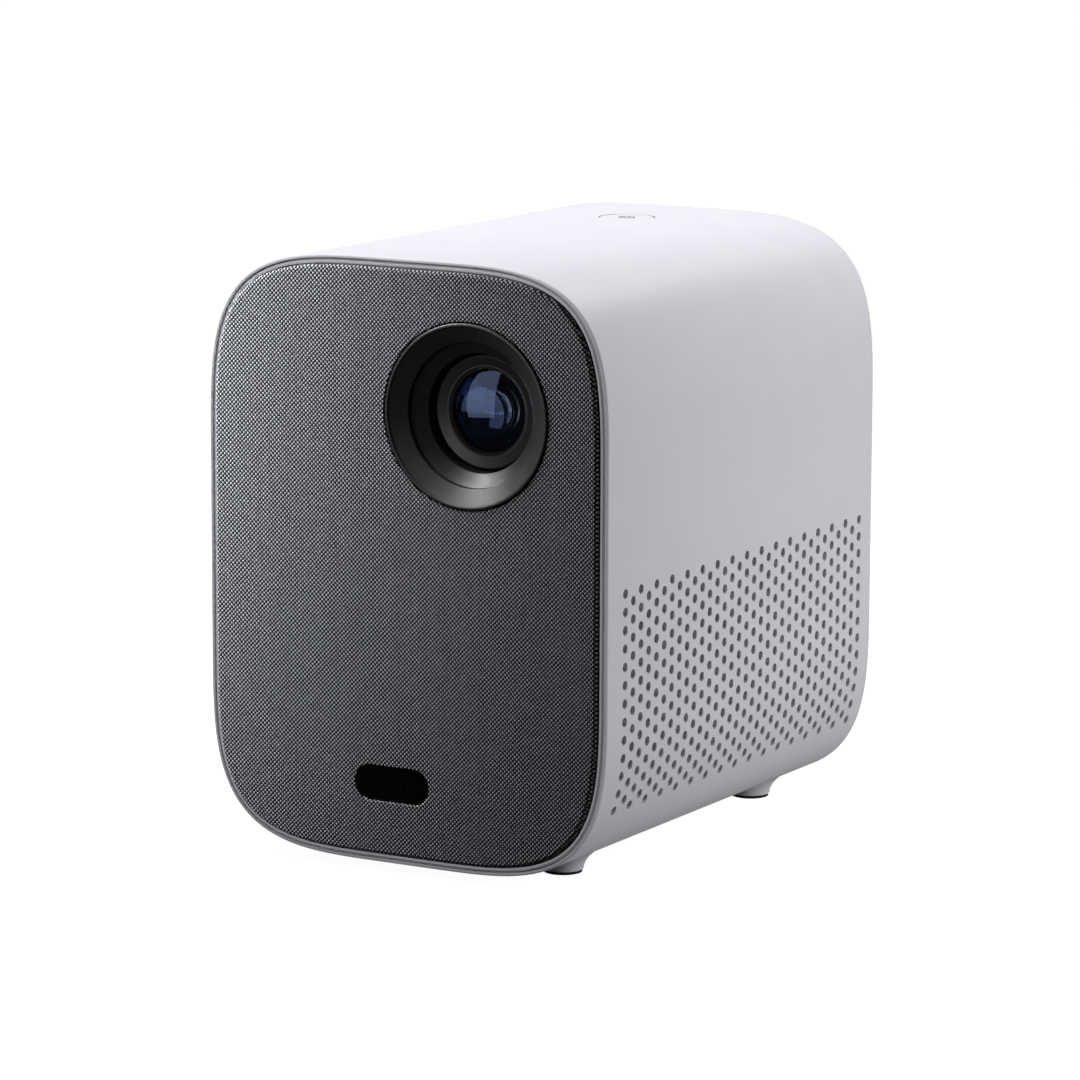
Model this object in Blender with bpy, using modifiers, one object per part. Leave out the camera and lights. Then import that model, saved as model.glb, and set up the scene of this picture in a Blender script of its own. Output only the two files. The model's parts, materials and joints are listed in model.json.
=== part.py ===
"""Home projector: a compact light engine in a soft-cornered housing, as separate pieces in metres, +Z up.

The front looks along -Y and +X is to the right seen from the front. The origin is on the floor, in the
middle of the footprint. Sizes below are millimetres, and MM turns them into metres where a shape is made.
"""

import math

import bmesh
import bpy
from mathutils import Matrix, Vector

MM = 0.001
GAP = 0.3

# Housing
WIDTH = 115.0
HEIGHT = 152.1
SHELL_DEPTH = 142.9
CORNER = 50.9
CORNER_POWER = 3.58
CORNER_STEPS = 10
WALL = 2.5
FOOT_DROP = 2.05
LIP_PROUD = 1.6
FABRIC_PROUD = 1.3

Y_FRONT = -(SHELL_DEPTH + LIP_PROUD) / 2
Y_RIM = Y_FRONT + LIP_PROUD
Y_FABRIC = Y_RIM - FABRIC_PROUD
Y_BACK = -Y_FRONT
Z_MIDDLE = FOOT_DROP + HEIGHT / 2
Z_TOP = FOOT_DROP + HEIGHT

# Front panel
FABRIC_INSET = 2.45
FABRIC_THICK = 1.2
FABRIC_ROLL = 0.5
BAFFLE_INSET = 3.6
BAFFLE_FRONT = Y_FABRIC + FABRIC_THICK + GAP
BAFFLE_THICK = 2.2
BAFFLE_BACK = BAFFLE_FRONT + BAFFLE_THICK
WINDOW_X = -3.0
WINDOW_Z = 22.5
WINDOW_WIDTH = 20.8
WINDOW_HEIGHT = 8.4
WINDOW_THICK = 1.4
WINDOW_FRONT = Y_FABRIC + 0.2
CAMERA_OFFSET = 6.2

# Lens stack, on an axis along Y
LENS_X = 18.2
LENS_Z = 116.65
BEZEL_RADIUS = 23.0
BARREL_RADIUS = 14.2
BARREL_BORE = 12.2
TUBE_BORE = BARREL_RADIUS + GAP
TUBE_RADIUS = 15.6
FRONT_LENS_RADIUS = 10.1
TUBE_FRONT = -58.0
TUBE_REAR = -14.0

# Focus drive
GEAR_MODULE = 1.0
RING_TEETH = 36
PINION_TEETH = 10
GEAR_CENTRES = GEAR_MODULE * (RING_TEETH + PINION_TEETH) / 2 + 0.1
GEAR_BACKLASH = 0.16
GEAR_FRONT = -50.0
GEAR_WIDTH = 5.0
PINION_ANGLE = math.radians(190)
PINION_X = LENS_X + GEAR_CENTRES * math.cos(PINION_ANGLE)
PINION_Z = LENS_Z + GEAR_CENTRES * math.sin(PINION_ANGLE)
MOTOR_RADIUS = 5.5
MOTOR_FRONT = -42.2
MOTOR_REAR = -28.0
BRACKET_WIDTH = 4.9

# Light engine
ENGINE_LOW = (-32.0, -20.0, 94.0)
ENGINE_HIGH = (42.0, 28.0, 139.0)
ENGINE_WALL = 2.0
LED_HOLE = 5.6
GREEN_LED_Y = 4.0
BLUE_LED_X = -16.0
RED_LED_X = 8.0
DMD_Y = 3.0
PIPE_RADIUS = 3.0

# Top button
BUTTON_Y = 40.85
BUTTON_RADIUS = 7.2
BUTTON_POST_X = 10.5
BUTTON_BOARD_TOP = 143.0

# Feet
FOOT_X = 32.3
FOOT_FRONT_Y = -47.85
FOOT_REAR_Y = 52.3

# Rear
COVER_FRONT = Y_BACK - 2.85
COVER_THICK = 2.4
COVER_BACK = COVER_FRONT + COVER_THICK
SCREW_X = 44.0
SCREW_RISE = 62.6
SCREW_BORE = 1.8
SCREW_HEAD_BORE = 3.2
SCREW_HEAD_DEPTH = 1.2
VENT_Z = 92.0
VENT_WIDTH = 2.6
VENT_HEIGHT = 52.0
VENT_PITCH = 6.0
VENT_COUNT = 13
BOARD_FRONT = 58.5
BOARD_THICK = 1.6
PORT_Z = 32.0
PORT_FRONT = BOARD_FRONT + BOARD_THICK + GAP
PORT_BACK = COVER_BACK - 0.2
PORT_GAP = 0.4
DC_X = -34.0
DC_RADIUS = 5.0
HDMI_X = -14.0
HDMI_HALF = (7.6, 3.1)
USB_X = 7.0
USB_HALF = (7.0, 3.3)
AUDIO_X = 26.0
AUDIO_RADIUS = 3.6

# Lower bay
TRAY_BOTTOM = 14.0
TRAY_TOP = 16.0
SHELF_BOTTOM = 80.0
SHELF_TOP = 82.0
SPEAKER_Y = -38.0
SPEAKER_Z = 44.0
SPEAKER_FACE = 46.3
SPEAKER_BOX_X = (8.0, 44.0)
SPEAKER_BOX_WALL = 2.5
FAN_X = (33.0, 48.0)
FAN_Y = 28.0
FAN_Z = 44.4
FAN_SIZE = 56.0
FAN_HOLE = 26.0
SINK_TOP = 76.0
TRIPOD_BORE = 3.2
INSERT_RADIUS = 5.0
INSERT_LENGTH = 8.0

AXIS_Z = (0.0, 0.0, 0.0)
FACING_FRONT = (math.radians(90), 0.0, 0.0)
FACING_BACK = (math.radians(-90), 0.0, 0.0)
FACING_RIGHT = (0.0, math.radians(90), 0.0)
FACING_LEFT = (0.0, math.radians(-90), 0.0)

# Finish: colour, roughness, metallic
FINISHES = {
    "white_plastic": ((0.80, 0.80, 0.82), 0.35, 0.0),
    "grey_plastic": ((0.42, 0.42, 0.44), 0.45, 0.0),
    "dark_plastic": ((0.035, 0.035, 0.033), 0.55, 0.0),
    "black_gloss": ((0.006, 0.006, 0.008), 0.08, 0.0),
    "fabric": ((0.09, 0.09, 0.10), 0.95, 0.0),
    "rubber": ((0.012, 0.012, 0.012), 0.85, 0.0),
    "glass": ((0.10, 0.14, 0.30), 0.03, 0.0),
    "aluminium": ((0.70, 0.71, 0.72), 0.35, 1.0),
    "steel": ((0.45, 0.45, 0.46), 0.3, 1.0),
    "copper": ((0.72, 0.38, 0.22), 0.3, 1.0),
    "brass": ((0.75, 0.58, 0.28), 0.3, 1.0),
    "board": ((0.03, 0.16, 0.08), 0.5, 0.0),
    "paper_cone": ((0.05, 0.05, 0.05), 0.8, 0.0),
}


def clear_scene():
    for obj in list(bpy.data.objects):
        bpy.data.objects.remove(obj)


def new_collection(name):
    collection = bpy.data.collections.new(name)
    bpy.context.scene.collection.children.link(collection)
    return collection


clear_scene()
PARTS = new_collection("home_projector")
CUTTERS = new_collection("cutters")
CUTTERS.hide_render = True


# ---------------------------------------------------------------- shape tools


def metres(point):
    return Vector(point) * MM


def finish_part(obj, finish):
    """Gives the object its own material and makes it a part."""
    colour, roughness, metallic = FINISHES[finish]
    material = bpy.data.materials.new(obj.name)
    material.use_nodes = True
    shader = material.node_tree.nodes["Principled BSDF"]
    shader.inputs["Base Color"].default_value = (*colour, 1.0)
    shader.inputs["Roughness"].default_value = roughness
    shader.inputs["Metallic"].default_value = metallic
    obj.data.materials.clear()
    obj.data.materials.append(material)
    PARTS.objects.link(obj)
    return obj


def as_cutter(obj):
    obj.hide_render = True
    obj.display_type = "WIRE"
    CUTTERS.objects.link(obj)
    return obj


def boolean(target, tool, operation):
    modifier = target.modifiers.new(f"{operation.lower()}_{tool.name}", "BOOLEAN")
    modifier.operation = operation
    modifier.object = tool
    return target


def cut(target, *tools):
    for tool in tools:
        boolean(target, as_cutter(tool), "DIFFERENCE")
    return target


def join(target, *tools):
    for tool in tools:
        boolean(target, as_cutter(tool), "UNION")
    return target


def block(name, low, high, bevel=0.0):
    """A box between two corners, with its edges rounded by bevel."""
    size = Vector(high) - Vector(low)
    bm = bmesh.new()
    bmesh.ops.create_cube(bm, size=1.0)
    bmesh.ops.scale(bm, vec=metres(size), verts=bm.verts)
    mesh = bpy.data.meshes.new(name)
    bm.to_mesh(mesh)
    bm.free()
    obj = bpy.data.objects.new(name, mesh)
    obj.location = metres((Vector(low) + Vector(high)) / 2)
    if bevel:
        modifier = obj.modifiers.new("round_edges", "BEVEL")
        modifier.width = bevel * MM
        modifier.segments = 2
    return obj


def rod(name, radius, start, end, sides=24):
    """A cylinder from one point to another."""
    along = metres(end) - metres(start)
    bm = bmesh.new()
    bmesh.ops.create_cone(
        bm,
        cap_ends=True,
        segments=sides,
        radius1=radius * MM,
        radius2=radius * MM,
        depth=along.length,
    )
    mesh = bpy.data.meshes.new(name)
    bm.to_mesh(mesh)
    bm.free()
    mesh.shade_smooth()
    mesh.set_sharp_from_angle(angle=math.radians(40))
    obj = bpy.data.objects.new(name, mesh)
    obj.location = (metres(start) + metres(end)) / 2
    obj.rotation_mode = "QUATERNION"
    obj.rotation_quaternion = along.to_track_quat("Z", "Y")
    return obj


def turned(name, profile, place, facing=AXIS_Z, closed=False, steps=32):
    """A profile of (radius, height) turned about the height axis, which facing then points somewhere."""
    bm = bmesh.new()
    points = [bm.verts.new(metres((radius, 0.0, height))) for radius, height in profile]
    pairs = list(zip(points, points[1:]))
    if closed:
        pairs.append((points[-1], points[0]))
    for pair in pairs:
        bm.edges.new(pair)
    mesh = bpy.data.meshes.new(name)
    bm.to_mesh(mesh)
    bm.free()
    obj = bpy.data.objects.new(name, mesh)
    obj.location = metres(place)
    obj.rotation_euler = facing
    screw = obj.modifiers.new("turn", "SCREW")
    screw.steps = steps
    screw.render_steps = steps
    screw.use_merge_vertices = True
    screw.merge_threshold = 0.00001
    return obj


def as_mesh(curve_object):
    """The mesh of a curve object, welded and facing outwards, as an object in the same place."""
    bpy.context.scene.collection.objects.link(curve_object)
    bpy.context.view_layer.update()
    graph = bpy.context.evaluated_depsgraph_get()
    mesh = bpy.data.meshes.new_from_object(curve_object.evaluated_get(graph))
    bm = bmesh.new()
    bm.from_mesh(mesh)
    bmesh.ops.remove_doubles(bm, verts=bm.verts, dist=0.000001)
    bmesh.ops.recalc_face_normals(bm, faces=bm.faces)
    bm.to_mesh(mesh)
    bm.free()
    mesh.shade_smooth()
    mesh.set_sharp_from_angle(angle=math.radians(35))
    name = curve_object.name
    place = curve_object.matrix_world.copy()
    bpy.data.objects.remove(curve_object)
    obj = bpy.data.objects.new(name, mesh)
    obj.matrix_world = place
    return obj


def plate(name, loops, low, high, facing=FACING_FRONT, place=(0.0, 0.0, 0.0), edge=0.0):
    """A flat outline with holes, drawn in its own plane and extruded from low to high along its normal."""
    curve = bpy.data.curves.new(name, "CURVE")
    curve.dimensions = "2D"
    curve.fill_mode = "BOTH"
    curve.extrude = (abs(high - low) / 2 - edge) * MM
    if edge:
        curve.bevel_depth = edge * MM
        curve.bevel_resolution = 0
        curve.offset = -edge * MM
    for loop in loops:
        spline = curve.splines.new("POLY")
        spline.points.add(len(loop) - 1)
        for point, (across, up) in zip(spline.points, loop):
            point.co = (across * MM, up * MM, 0.0, 1.0)
        spline.use_cyclic_u = True
    obj = bpy.data.objects.new(name, curve)
    obj.rotation_euler = facing
    normal = obj.rotation_euler.to_matrix() @ Vector((0.0, 0.0, 1.0))
    middle = (low + high) / 2
    if facing == FACING_FRONT:
        middle = -middle
    obj.location = metres(Vector(place) + normal * middle)
    return as_mesh(obj)


def pipe(name, points, radius):
    """A round bar along a smooth route through the points."""
    curve = bpy.data.curves.new(name, "CURVE")
    curve.dimensions = "3D"
    curve.bevel_depth = radius * MM
    curve.bevel_resolution = 2
    curve.use_fill_caps = True
    spline = curve.splines.new("NURBS")
    spline.points.add(len(points) - 1)
    for point, place in zip(spline.points, points):
        point.co = (*metres(place), 1.0)
    spline.use_endpoint_u = True
    spline.order_u = 3
    spline.resolution_u = 3
    return as_mesh(bpy.data.objects.new(name, curve))


# ---------------------------------------------------------------- outlines


def housing_outline(inset=0.0, steps=CORNER_STEPS):
    """The housing's section across Y: straight sides and superellipse corners, moved inwards by inset."""
    side = WIDTH / 2 - CORNER
    rise = HEIGHT / 2 - CORNER
    corner = []
    for step in range(steps + 1):
        angle = math.radians(90) * step / steps
        across = math.cos(angle) ** (2 / CORNER_POWER)
        up = math.sin(angle) ** (2 / CORNER_POWER)
        normal = Vector((across ** (CORNER_POWER - 1), up ** (CORNER_POWER - 1))).normalized()
        corner.append(
            (
                side + CORNER * across - inset * normal.x,
                rise + CORNER * up - inset * normal.y,
            )
        )
    mirrored = [(-x, z) for x, z in reversed(corner)]
    upper = corner + mirrored
    lower = [(x, -z) for x, z in reversed(upper)]
    return [(x, z + Z_MIDDLE) for x, z in upper + lower]


def circle(x, z, radius, sides=40):
    turn = 2 * math.pi / sides
    return [(x + radius * math.cos(i * turn), z + radius * math.sin(i * turn)) for i in range(sides)]


def pill(x, z, width, height, grow=0.0, sides=10):
    """A slot with half-round ends, along its longer side."""
    radius = min(width, height) / 2 + grow
    reach = abs(width - height) / 2
    points = []
    for end in (1, -1):
        for step in range(sides + 1):
            angle = math.radians(-90 + 180 * step / sides)
            along = end * (reach + radius * math.cos(angle))
            across = end * radius * math.sin(angle)
            points.append((x + along, z + across) if width > height else (x - across, z + along))
    return points


def rectangle(low_x, low_z, high_x, high_z):
    return [(low_x, low_z), (high_x, low_z), (high_x, high_z), (low_x, high_z)]


def gear_outline(teeth, first_angle):
    """Straight-flanked teeth cut inside the involute form, with a tooth centred on first_angle."""
    pitch = GEAR_MODULE * teeth / 2
    base = pitch * math.cos(math.radians(20))
    root = pitch - 1.15 * GEAR_MODULE
    tip = pitch + 0.9 * GEAR_MODULE
    pitch_half = math.pi / (2 * teeth) - GEAR_BACKLASH / (2 * pitch)

    def involute(radius):
        angle = math.acos(min(1.0, base / radius))
        return math.tan(angle) - angle

    root_half = pitch_half + involute(pitch) - involute(root)
    tip_half = pitch_half + involute(pitch) - involute(tip)
    points = []
    for tooth in range(teeth):
        centre = first_angle + 2 * math.pi * tooth / teeth
        for radius, turn in ((root, -root_half), (tip, -tip_half), (tip, tip_half), (root, root_half)):
            angle = centre + turn
            points.append((radius * math.cos(angle), radius * math.sin(angle)))
    return points


def comb_outline(low, high, base, count, fin):
    """A finned section: a base along the top, and fins hanging from it between two sides."""
    (left, bottom), (right, top) = low, high
    pitch = (right - left - fin) / (count - 1)
    points = [(left, top), (left, bottom)]
    for index in range(count):
        start = left + index * pitch
        if index:
            points += [(start, top - base), (start, bottom)]
        points += [(start + fin, bottom)]
        if index < count - 1:
            points += [(start + fin, top - base)]
    return points + [(right, top)]


def sweep(name, section):
    """A closed section of (inset, depth) carried round the housing's outline."""
    bm = bmesh.new()
    loops = []
    for inset, depth in section:
        loops.append([bm.verts.new(metres((x, depth, z))) for x, z in housing_outline(inset)])
    for index, loop in enumerate(loops):
        following = loops[(index + 1) % len(loops)]
        for start in range(len(loop)):
            end = (start + 1) % len(loop)
            bm.faces.new((loop[start], loop[end], following[end], following[start]))
    bmesh.ops.recalc_face_normals(bm, faces=bm.faces)
    mesh = bpy.data.meshes.new(name)
    bm.to_mesh(mesh)
    bm.free()
    mesh.shade_smooth()
    mesh.set_sharp_from_angle(angle=math.radians(35))
    return bpy.data.objects.new(name, mesh)


# ---------------------------------------------------------------- housing


def make_main_shell():
    """The white sleeve: open at both ends, rebated in front for the trim ring, with its moulded posts."""
    edge = 0.85
    rebate = Y_RIM + 3.0
    section = [
        (0.0, Y_RIM + edge),
        (0.25, Y_RIM + 0.25),
        (edge, Y_RIM),
        (edge, rebate),
        (WALL, rebate),
        (WALL, Y_BACK - 0.4),
        (WALL - 0.4, Y_BACK),
        (edge, Y_BACK),
        (0.25, Y_BACK - 0.25),
        (0.0, Y_BACK - edge),
    ]
    shell = sweep("main_shell", section)
    posts = []
    holes = []
    for side in (-1, 1):
        for rise in (-SCREW_RISE, SCREW_RISE):
            x = side * SCREW_X
            z = Z_MIDDLE + rise
            key = f"{'left' if side < 0 else 'right'}_{'low' if rise < 0 else 'high'}"
            front = COVER_FRONT - 12.0
            back = COVER_FRONT - GAP
            posts.append(rod(f"screw_post_{key}", 4.5, (x, front, z), (x, back, z), 16))
            holes.append(rod(f"screw_bore_{key}", SCREW_BORE, (x, front + 3.0, z), (x, back + 1.0, z), 12))
        x = side * BUTTON_POST_X
        key = f"board_post_{'left' if side < 0 else 'right'}"
        posts.append(rod(key, 1.8, (x, BUTTON_Y, BUTTON_BOARD_TOP + GAP), (x, BUTTON_Y, Z_TOP - 1.0), 12))
    posts.append(rod("tripod_boss", INSERT_RADIUS + 3.0, (0, 0, FOOT_DROP + 1.0), (0, 0, 12.0)))
    holes.append(rod("tripod_socket", INSERT_RADIUS + GAP, (0, 0, 0), (0, 0, 10.5)))
    ends = [(0, BUTTON_Y, Z_TOP - 6.0), (0, BUTTON_Y, Z_TOP + 4.0)]
    holes.append(rod("button_hole", BUTTON_RADIUS + GAP, *ends, 32))
    join(shell, *posts)
    cut(shell, *holes)
    finish_part(shell, "white_plastic")


def make_trim_ring():
    """The ring round the fabric: a narrow lip, a bevel down to the shell's edge, and a flange behind."""
    lip = Y_RIM - 0.1
    seat = Y_RIM + 2.6
    ledge = BAFFLE_BACK + GAP
    section = [
        (1.55, lip),
        (1.15, lip + 0.7),
        (1.15, seat),
        (3.0, seat),
        (3.0, ledge + 1.9),
        (7.0, ledge + 1.9),
        (7.0, ledge),
        (2.15, ledge),
        (2.15, lip),
    ]
    finish_part(sweep("front_trim_ring", section), "white_plastic")


def make_front_panel():
    """The grille panel and the fabric stretched over it, both open at the lens and at the window."""
    lens = circle(LENS_X, LENS_Z, BEZEL_RADIUS + GAP, 36)
    window = pill(WINDOW_X, WINDOW_Z, WINDOW_WIDTH, WINDOW_HEIGHT, GAP, 8)
    panel = [housing_outline(BAFFLE_INSET), lens, window]
    finish_part(plate("front_baffle", panel, BAFFLE_FRONT, BAFFLE_BACK), "dark_plastic")
    cloth = [housing_outline(FABRIC_INSET), lens, window]
    finish_part(
        plate("front_fabric", cloth, Y_FABRIC, Y_FABRIC + FABRIC_THICK, edge=FABRIC_ROLL), "fabric"
    )


def make_lens_bezel():
    """The stepped cone round the lens, with a flange that sits behind the panel."""
    back = Y_FRONT - BAFFLE_BACK - GAP
    profile = [
        (22.35, 0.0),
        (BEZEL_RADIUS, -0.35),
        (BEZEL_RADIUS, back),
        (26.0, back),
        (26.0, back - 1.5),
        (19.6, back - 1.5),
        (16.3, -8.4),
        (16.3, -12.2),
        (14.86, -12.2),
        (14.86, -7.35),
        (18.1, -4.5),
        (18.1, -3.1),
        (21.8, -0.8),
        (21.9, -0.1),
    ]
    bezel = turned("lens_bezel", profile, (LENS_X, Y_FRONT, LENS_Z), FACING_FRONT, closed=True, steps=36)
    finish_part(bezel, "dark_plastic")


def make_window():
    """The gloss window and the autofocus camera behind its right end."""
    outline = pill(WINDOW_X, WINDOW_Z, WINDOW_WIDTH, WINDOW_HEIGHT)
    window = plate("window_cover", [outline], WINDOW_FRONT, WINDOW_FRONT + WINDOW_THICK)
    finish_part(window, "black_gloss")
    eye = Vector((WINDOW_X + CAMERA_OFFSET, WINDOW_FRONT + WINDOW_THICK + GAP, WINDOW_Z))
    camera = block("autofocus_camera", eye + Vector((-4.5, 2.0, -4.5)), eye + Vector((4.5, 6.5, 4.5)))
    join(camera, rod("camera_barrel", 2.6, eye, eye + Vector((0.0, 3.0, 0.0)), 16))
    finish_part(camera, "dark_plastic")


def make_rear_cover():
    """The back plate: upright vent slots, cut-outs for the sockets, and four counterbored screw holes."""
    loops = [housing_outline(WALL + GAP)]
    for index in range(VENT_COUNT):
        x = (index - (VENT_COUNT - 1) / 2) * VENT_PITCH
        loops.append(pill(x, VENT_Z, VENT_WIDTH, VENT_HEIGHT, sides=2))
    loops.append(circle(DC_X, PORT_Z, DC_RADIUS + PORT_GAP, 24))
    loops.append(circle(AUDIO_X, PORT_Z, AUDIO_RADIUS + PORT_GAP, 20))
    for x, (half_width, half_height) in ((HDMI_X, HDMI_HALF), (USB_X, USB_HALF)):
        across = half_width + PORT_GAP
        up = half_height + PORT_GAP
        loops.append(rectangle(x - across, PORT_Z - up, x + across, PORT_Z + up))
    cover = plate("rear_cover", loops, COVER_FRONT, COVER_BACK)
    for number, (x, z) in enumerate(screw_places(), 1):
        outside = (x, COVER_BACK + 1, z)
        head_seat = (x, COVER_BACK - SCREW_HEAD_DEPTH, z)
        cut(
            cover,
            rod(f"screw_hole_{number}", SCREW_BORE, (x, COVER_FRONT - 1, z), outside, 12),
            rod(f"counterbore_{number}", SCREW_HEAD_BORE, head_seat, outside, 16),
        )
    finish_part(cover, "grey_plastic")


def screw_places():
    return [(side * SCREW_X, Z_MIDDLE + rise) for side in (-1, 1) for rise in (-SCREW_RISE, SCREW_RISE)]


def make_rear_screws():
    profile = [(0.0, 0.8), (2.0, 0.8), (2.8, 0.3), (2.8, 0.0), (1.5, 0.0), (1.5, -8.0), (0.0, -8.0)]
    for number, (x, z) in enumerate(screw_places(), 1):
        place = (x, COVER_BACK - SCREW_HEAD_DEPTH + GAP, z)
        finish_part(turned(f"rear_screw_{number}", profile, place, FACING_BACK, steps=12), "steel")


def make_feet():
    """Flared feet cut to the shell's underside, each with a rubber pad plugged into it."""
    flare = [
        (0.0, 9.0),
        (8.6, 9.0),
        (8.2, 5.6),
        (6.6, 3.9),
        (5.6, 2.4),
        (5.25, 0.75),
        (4.3, 0.75),
        (4.3, 1.9),
        (0.0, 1.9),
    ]
    cushion = [(0.0, 1.6), (4.0, 1.6), (4.0, 0.45), (4.95, 0.45), (4.95, 0.12), (4.8, 0.0), (0.0, 0.0)]
    for side, side_name in ((-1, "left"), (1, "right")):
        for y, end_name in ((FOOT_FRONT_Y, "front"), (FOOT_REAR_Y, "rear")):
            name = f"{end_name}_{side_name}"
            place = (side * FOOT_X, y, 0.0)
            foot = turned(f"foot_{name}", flare, place, steps=18)
            outline = housing_outline(-GAP)
            body = plate(f"underside_{name}", [outline], y - 12.0, y + 12.0)
            cut(foot, body)
            finish_part(foot, "white_plastic")
            finish_part(turned(f"foot_pad_{name}", cushion, place, steps=18), "rubber")


def make_tripod_insert():
    """The threaded brass insert for a tripod, its lower ring flush with the underside."""
    profile = [
        (INSERT_RADIUS, INSERT_LENGTH),
        (INSERT_RADIUS, 0.0),
        (TRIPOD_BORE + 0.4, 0.0),
        (TRIPOD_BORE, 0.4),
        (TRIPOD_BORE, INSERT_LENGTH),
    ]
    insert = turned("tripod_insert", profile, (0, 0, FOOT_DROP), closed=True, steps=24)
    finish_part(insert, "brass")


# ---------------------------------------------------------------- top button


def make_power_button():
    """The button cap with its retaining flange and stem, and the switch on its board below."""
    top = Z_TOP - 0.1
    flange = Z_TOP - WALL - 0.35
    profile = [
        (0.0, top),
        (BUTTON_RADIUS - 0.3, top),
        (BUTTON_RADIUS, top - 0.3),
        (BUTTON_RADIUS, flange),
        (8.4, flange),
        (8.4, flange - 1.0),
        (2.0, flange - 1.0),
        (2.0, 147.6),
        (0.0, 147.6),
    ]
    relative = [(radius, height - top) for radius, height in profile]
    finish_part(turned("power_button", relative, (0, BUTTON_Y, top), steps=28), "white_plastic")
    low = BUTTON_BOARD_TOP + GAP
    switch = block("button_switch", (-3, BUTTON_Y - 3, low), (3, BUTTON_Y + 3, low + 2.3))
    join(switch, rod("switch_plunger", 1.7, (0, BUTTON_Y, low + 1.5), (0, BUTTON_Y, low + 3.5), 16))
    finish_part(switch, "steel")
    board = block(
        "button_board", (-13, BUTTON_Y - 7, BUTTON_BOARD_TOP - 1.2), (13, BUTTON_Y + 7, BUTTON_BOARD_TOP)
    )
    finish_part(board, "board")


# ---------------------------------------------------------------- lens and focus drive


def make_lens_tube():
    """The fixed tube that the focus barrel slides in, flanged onto the light engine."""
    length = TUBE_REAR - TUBE_FRONT
    flange = ENGINE_LOW[1] - GAP - TUBE_FRONT
    profile = [
        (TUBE_RADIUS, 0.0),
        (TUBE_RADIUS, -flange + 2.0),
        (20.0, -flange + 2.0),
        (20.0, -flange),
        (TUBE_RADIUS, -flange),
        (TUBE_RADIUS, -length),
        (TUBE_BORE, -length),
        (TUBE_BORE, 0.0),
    ]
    tube = turned("lens_tube", profile, (LENS_X, TUBE_FRONT, LENS_Z), FACING_FRONT, closed=True)
    finish_part(tube, "dark_plastic")


def make_focus_barrel():
    """The sliding barrel with its stepped mouth, the big front lens and the lens behind it."""
    barrel = [
        (13.8, -9.9),
        (BARREL_RADIUS, -10.3),
        (BARREL_RADIUS, -32.0),
        (BARREL_BORE, -32.0),
        (BARREL_BORE, -17.6),
        (9.4, -17.6),
        (9.4, -16.6),
        (FRONT_LENS_RADIUS + GAP, -16.6),
        (FRONT_LENS_RADIUS + GAP, -11.5),
        (11.1, -10.8),
        (11.5, -10.8),
    ]
    place = (LENS_X, Y_FRONT, LENS_Z)
    finish_part(turned("focus_barrel", barrel, place, FACING_FRONT, closed=True), "dark_plastic")
    front = [(0.0, -11.0)]
    front += dome(FRONT_LENS_RADIUS, -11.0, -12.6, 5)
    front += [(FRONT_LENS_RADIUS, -14.6)]
    front += reversed(dome(FRONT_LENS_RADIUS, -16.0, -14.6, 3)[:-1])
    front += [(0.0, -16.0)]
    finish_part(turned("front_lens", front, place, FACING_FRONT, steps=28), "glass")
    radius = BARREL_BORE - GAP
    rear = [(0.0, -24.0)]
    rear += dome(radius, -24.0, -26.0, 3)
    rear += [(radius, -28.0), (0.0, -28.0)]
    finish_part(turned("rear_lens", rear, place, FACING_FRONT, steps=24), "glass")


def dome(radius, apex, rim, count):
    """Points of (radius, height) from near the apex of a shallow cap out to its rim."""
    shares = [index / count for index in range(1, count + 1)]
    return [(radius * share, apex + (rim - apex) * share**2) for share in shares]


def make_focus_drive():
    """The toothed focus ring round the tube, and the motor with its pinion and bracket."""
    facing_gap = PINION_ANGLE + math.pi + math.pi / PINION_TEETH
    ring = plate(
        "focus_ring",
        [gear_outline(RING_TEETH, PINION_ANGLE), circle(0.0, 0.0, TUBE_RADIUS + GAP)],
        GEAR_FRONT,
        GEAR_FRONT + GEAR_WIDTH,
        place=(LENS_X, 0.0, LENS_Z),
    )
    finish_part(ring, "grey_plastic")
    pinion = plate(
        "motor_pinion",
        [gear_outline(PINION_TEETH, facing_gap)],
        GEAR_FRONT,
        GEAR_FRONT + GEAR_WIDTH,
        place=(PINION_X, 0.0, PINION_Z),
    )
    start = (PINION_X, GEAR_FRONT + 2.0, PINION_Z)
    join(pinion, rod("pinion_shaft", 0.8, start, (PINION_X, MOTOR_FRONT + 2.6, PINION_Z), 12))
    finish_part(pinion, "brass")

    length = MOTOR_REAR - MOTOR_FRONT
    profile = [
        (0.0, -3.0),
        (1.1, -3.0),
        (1.1, 0.0),
        (MOTOR_RADIUS - 0.5, 0.0),
        (MOTOR_RADIUS, -0.5),
        (MOTOR_RADIUS, -length),
        (0.0, -length),
    ]
    motor = turned("focus_motor", profile, (PINION_X, MOTOR_FRONT, PINION_Z), FACING_FRONT, steps=24)
    finish_part(motor, "steel")

    front = MOTOR_FRONT - GAP
    back = ENGINE_LOW[1] - GAP
    reach = MOTOR_RADIUS + 2.2
    side = BRACKET_WIDTH / 2
    bracket = block(
        "motor_bracket",
        (PINION_X - side, front - 1.4, PINION_Z - reach),
        (PINION_X + side, back, PINION_Z + reach),
    )
    inner = MOTOR_RADIUS + 0.8
    hollow = block(
        "bracket_hollow",
        (PINION_X - 2 * side, front, PINION_Z - inner),
        (PINION_X + 2 * side, back + 5.0, PINION_Z + inner),
    )
    bore_start = (PINION_X, front - 4.0, PINION_Z)
    cut(bracket, hollow, rod("bracket_bore", 1.5, bore_start, (PINION_X, front + 4.0, PINION_Z), 16))
    finish_part(bracket, "aluminium")


# ---------------------------------------------------------------- light engine


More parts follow.
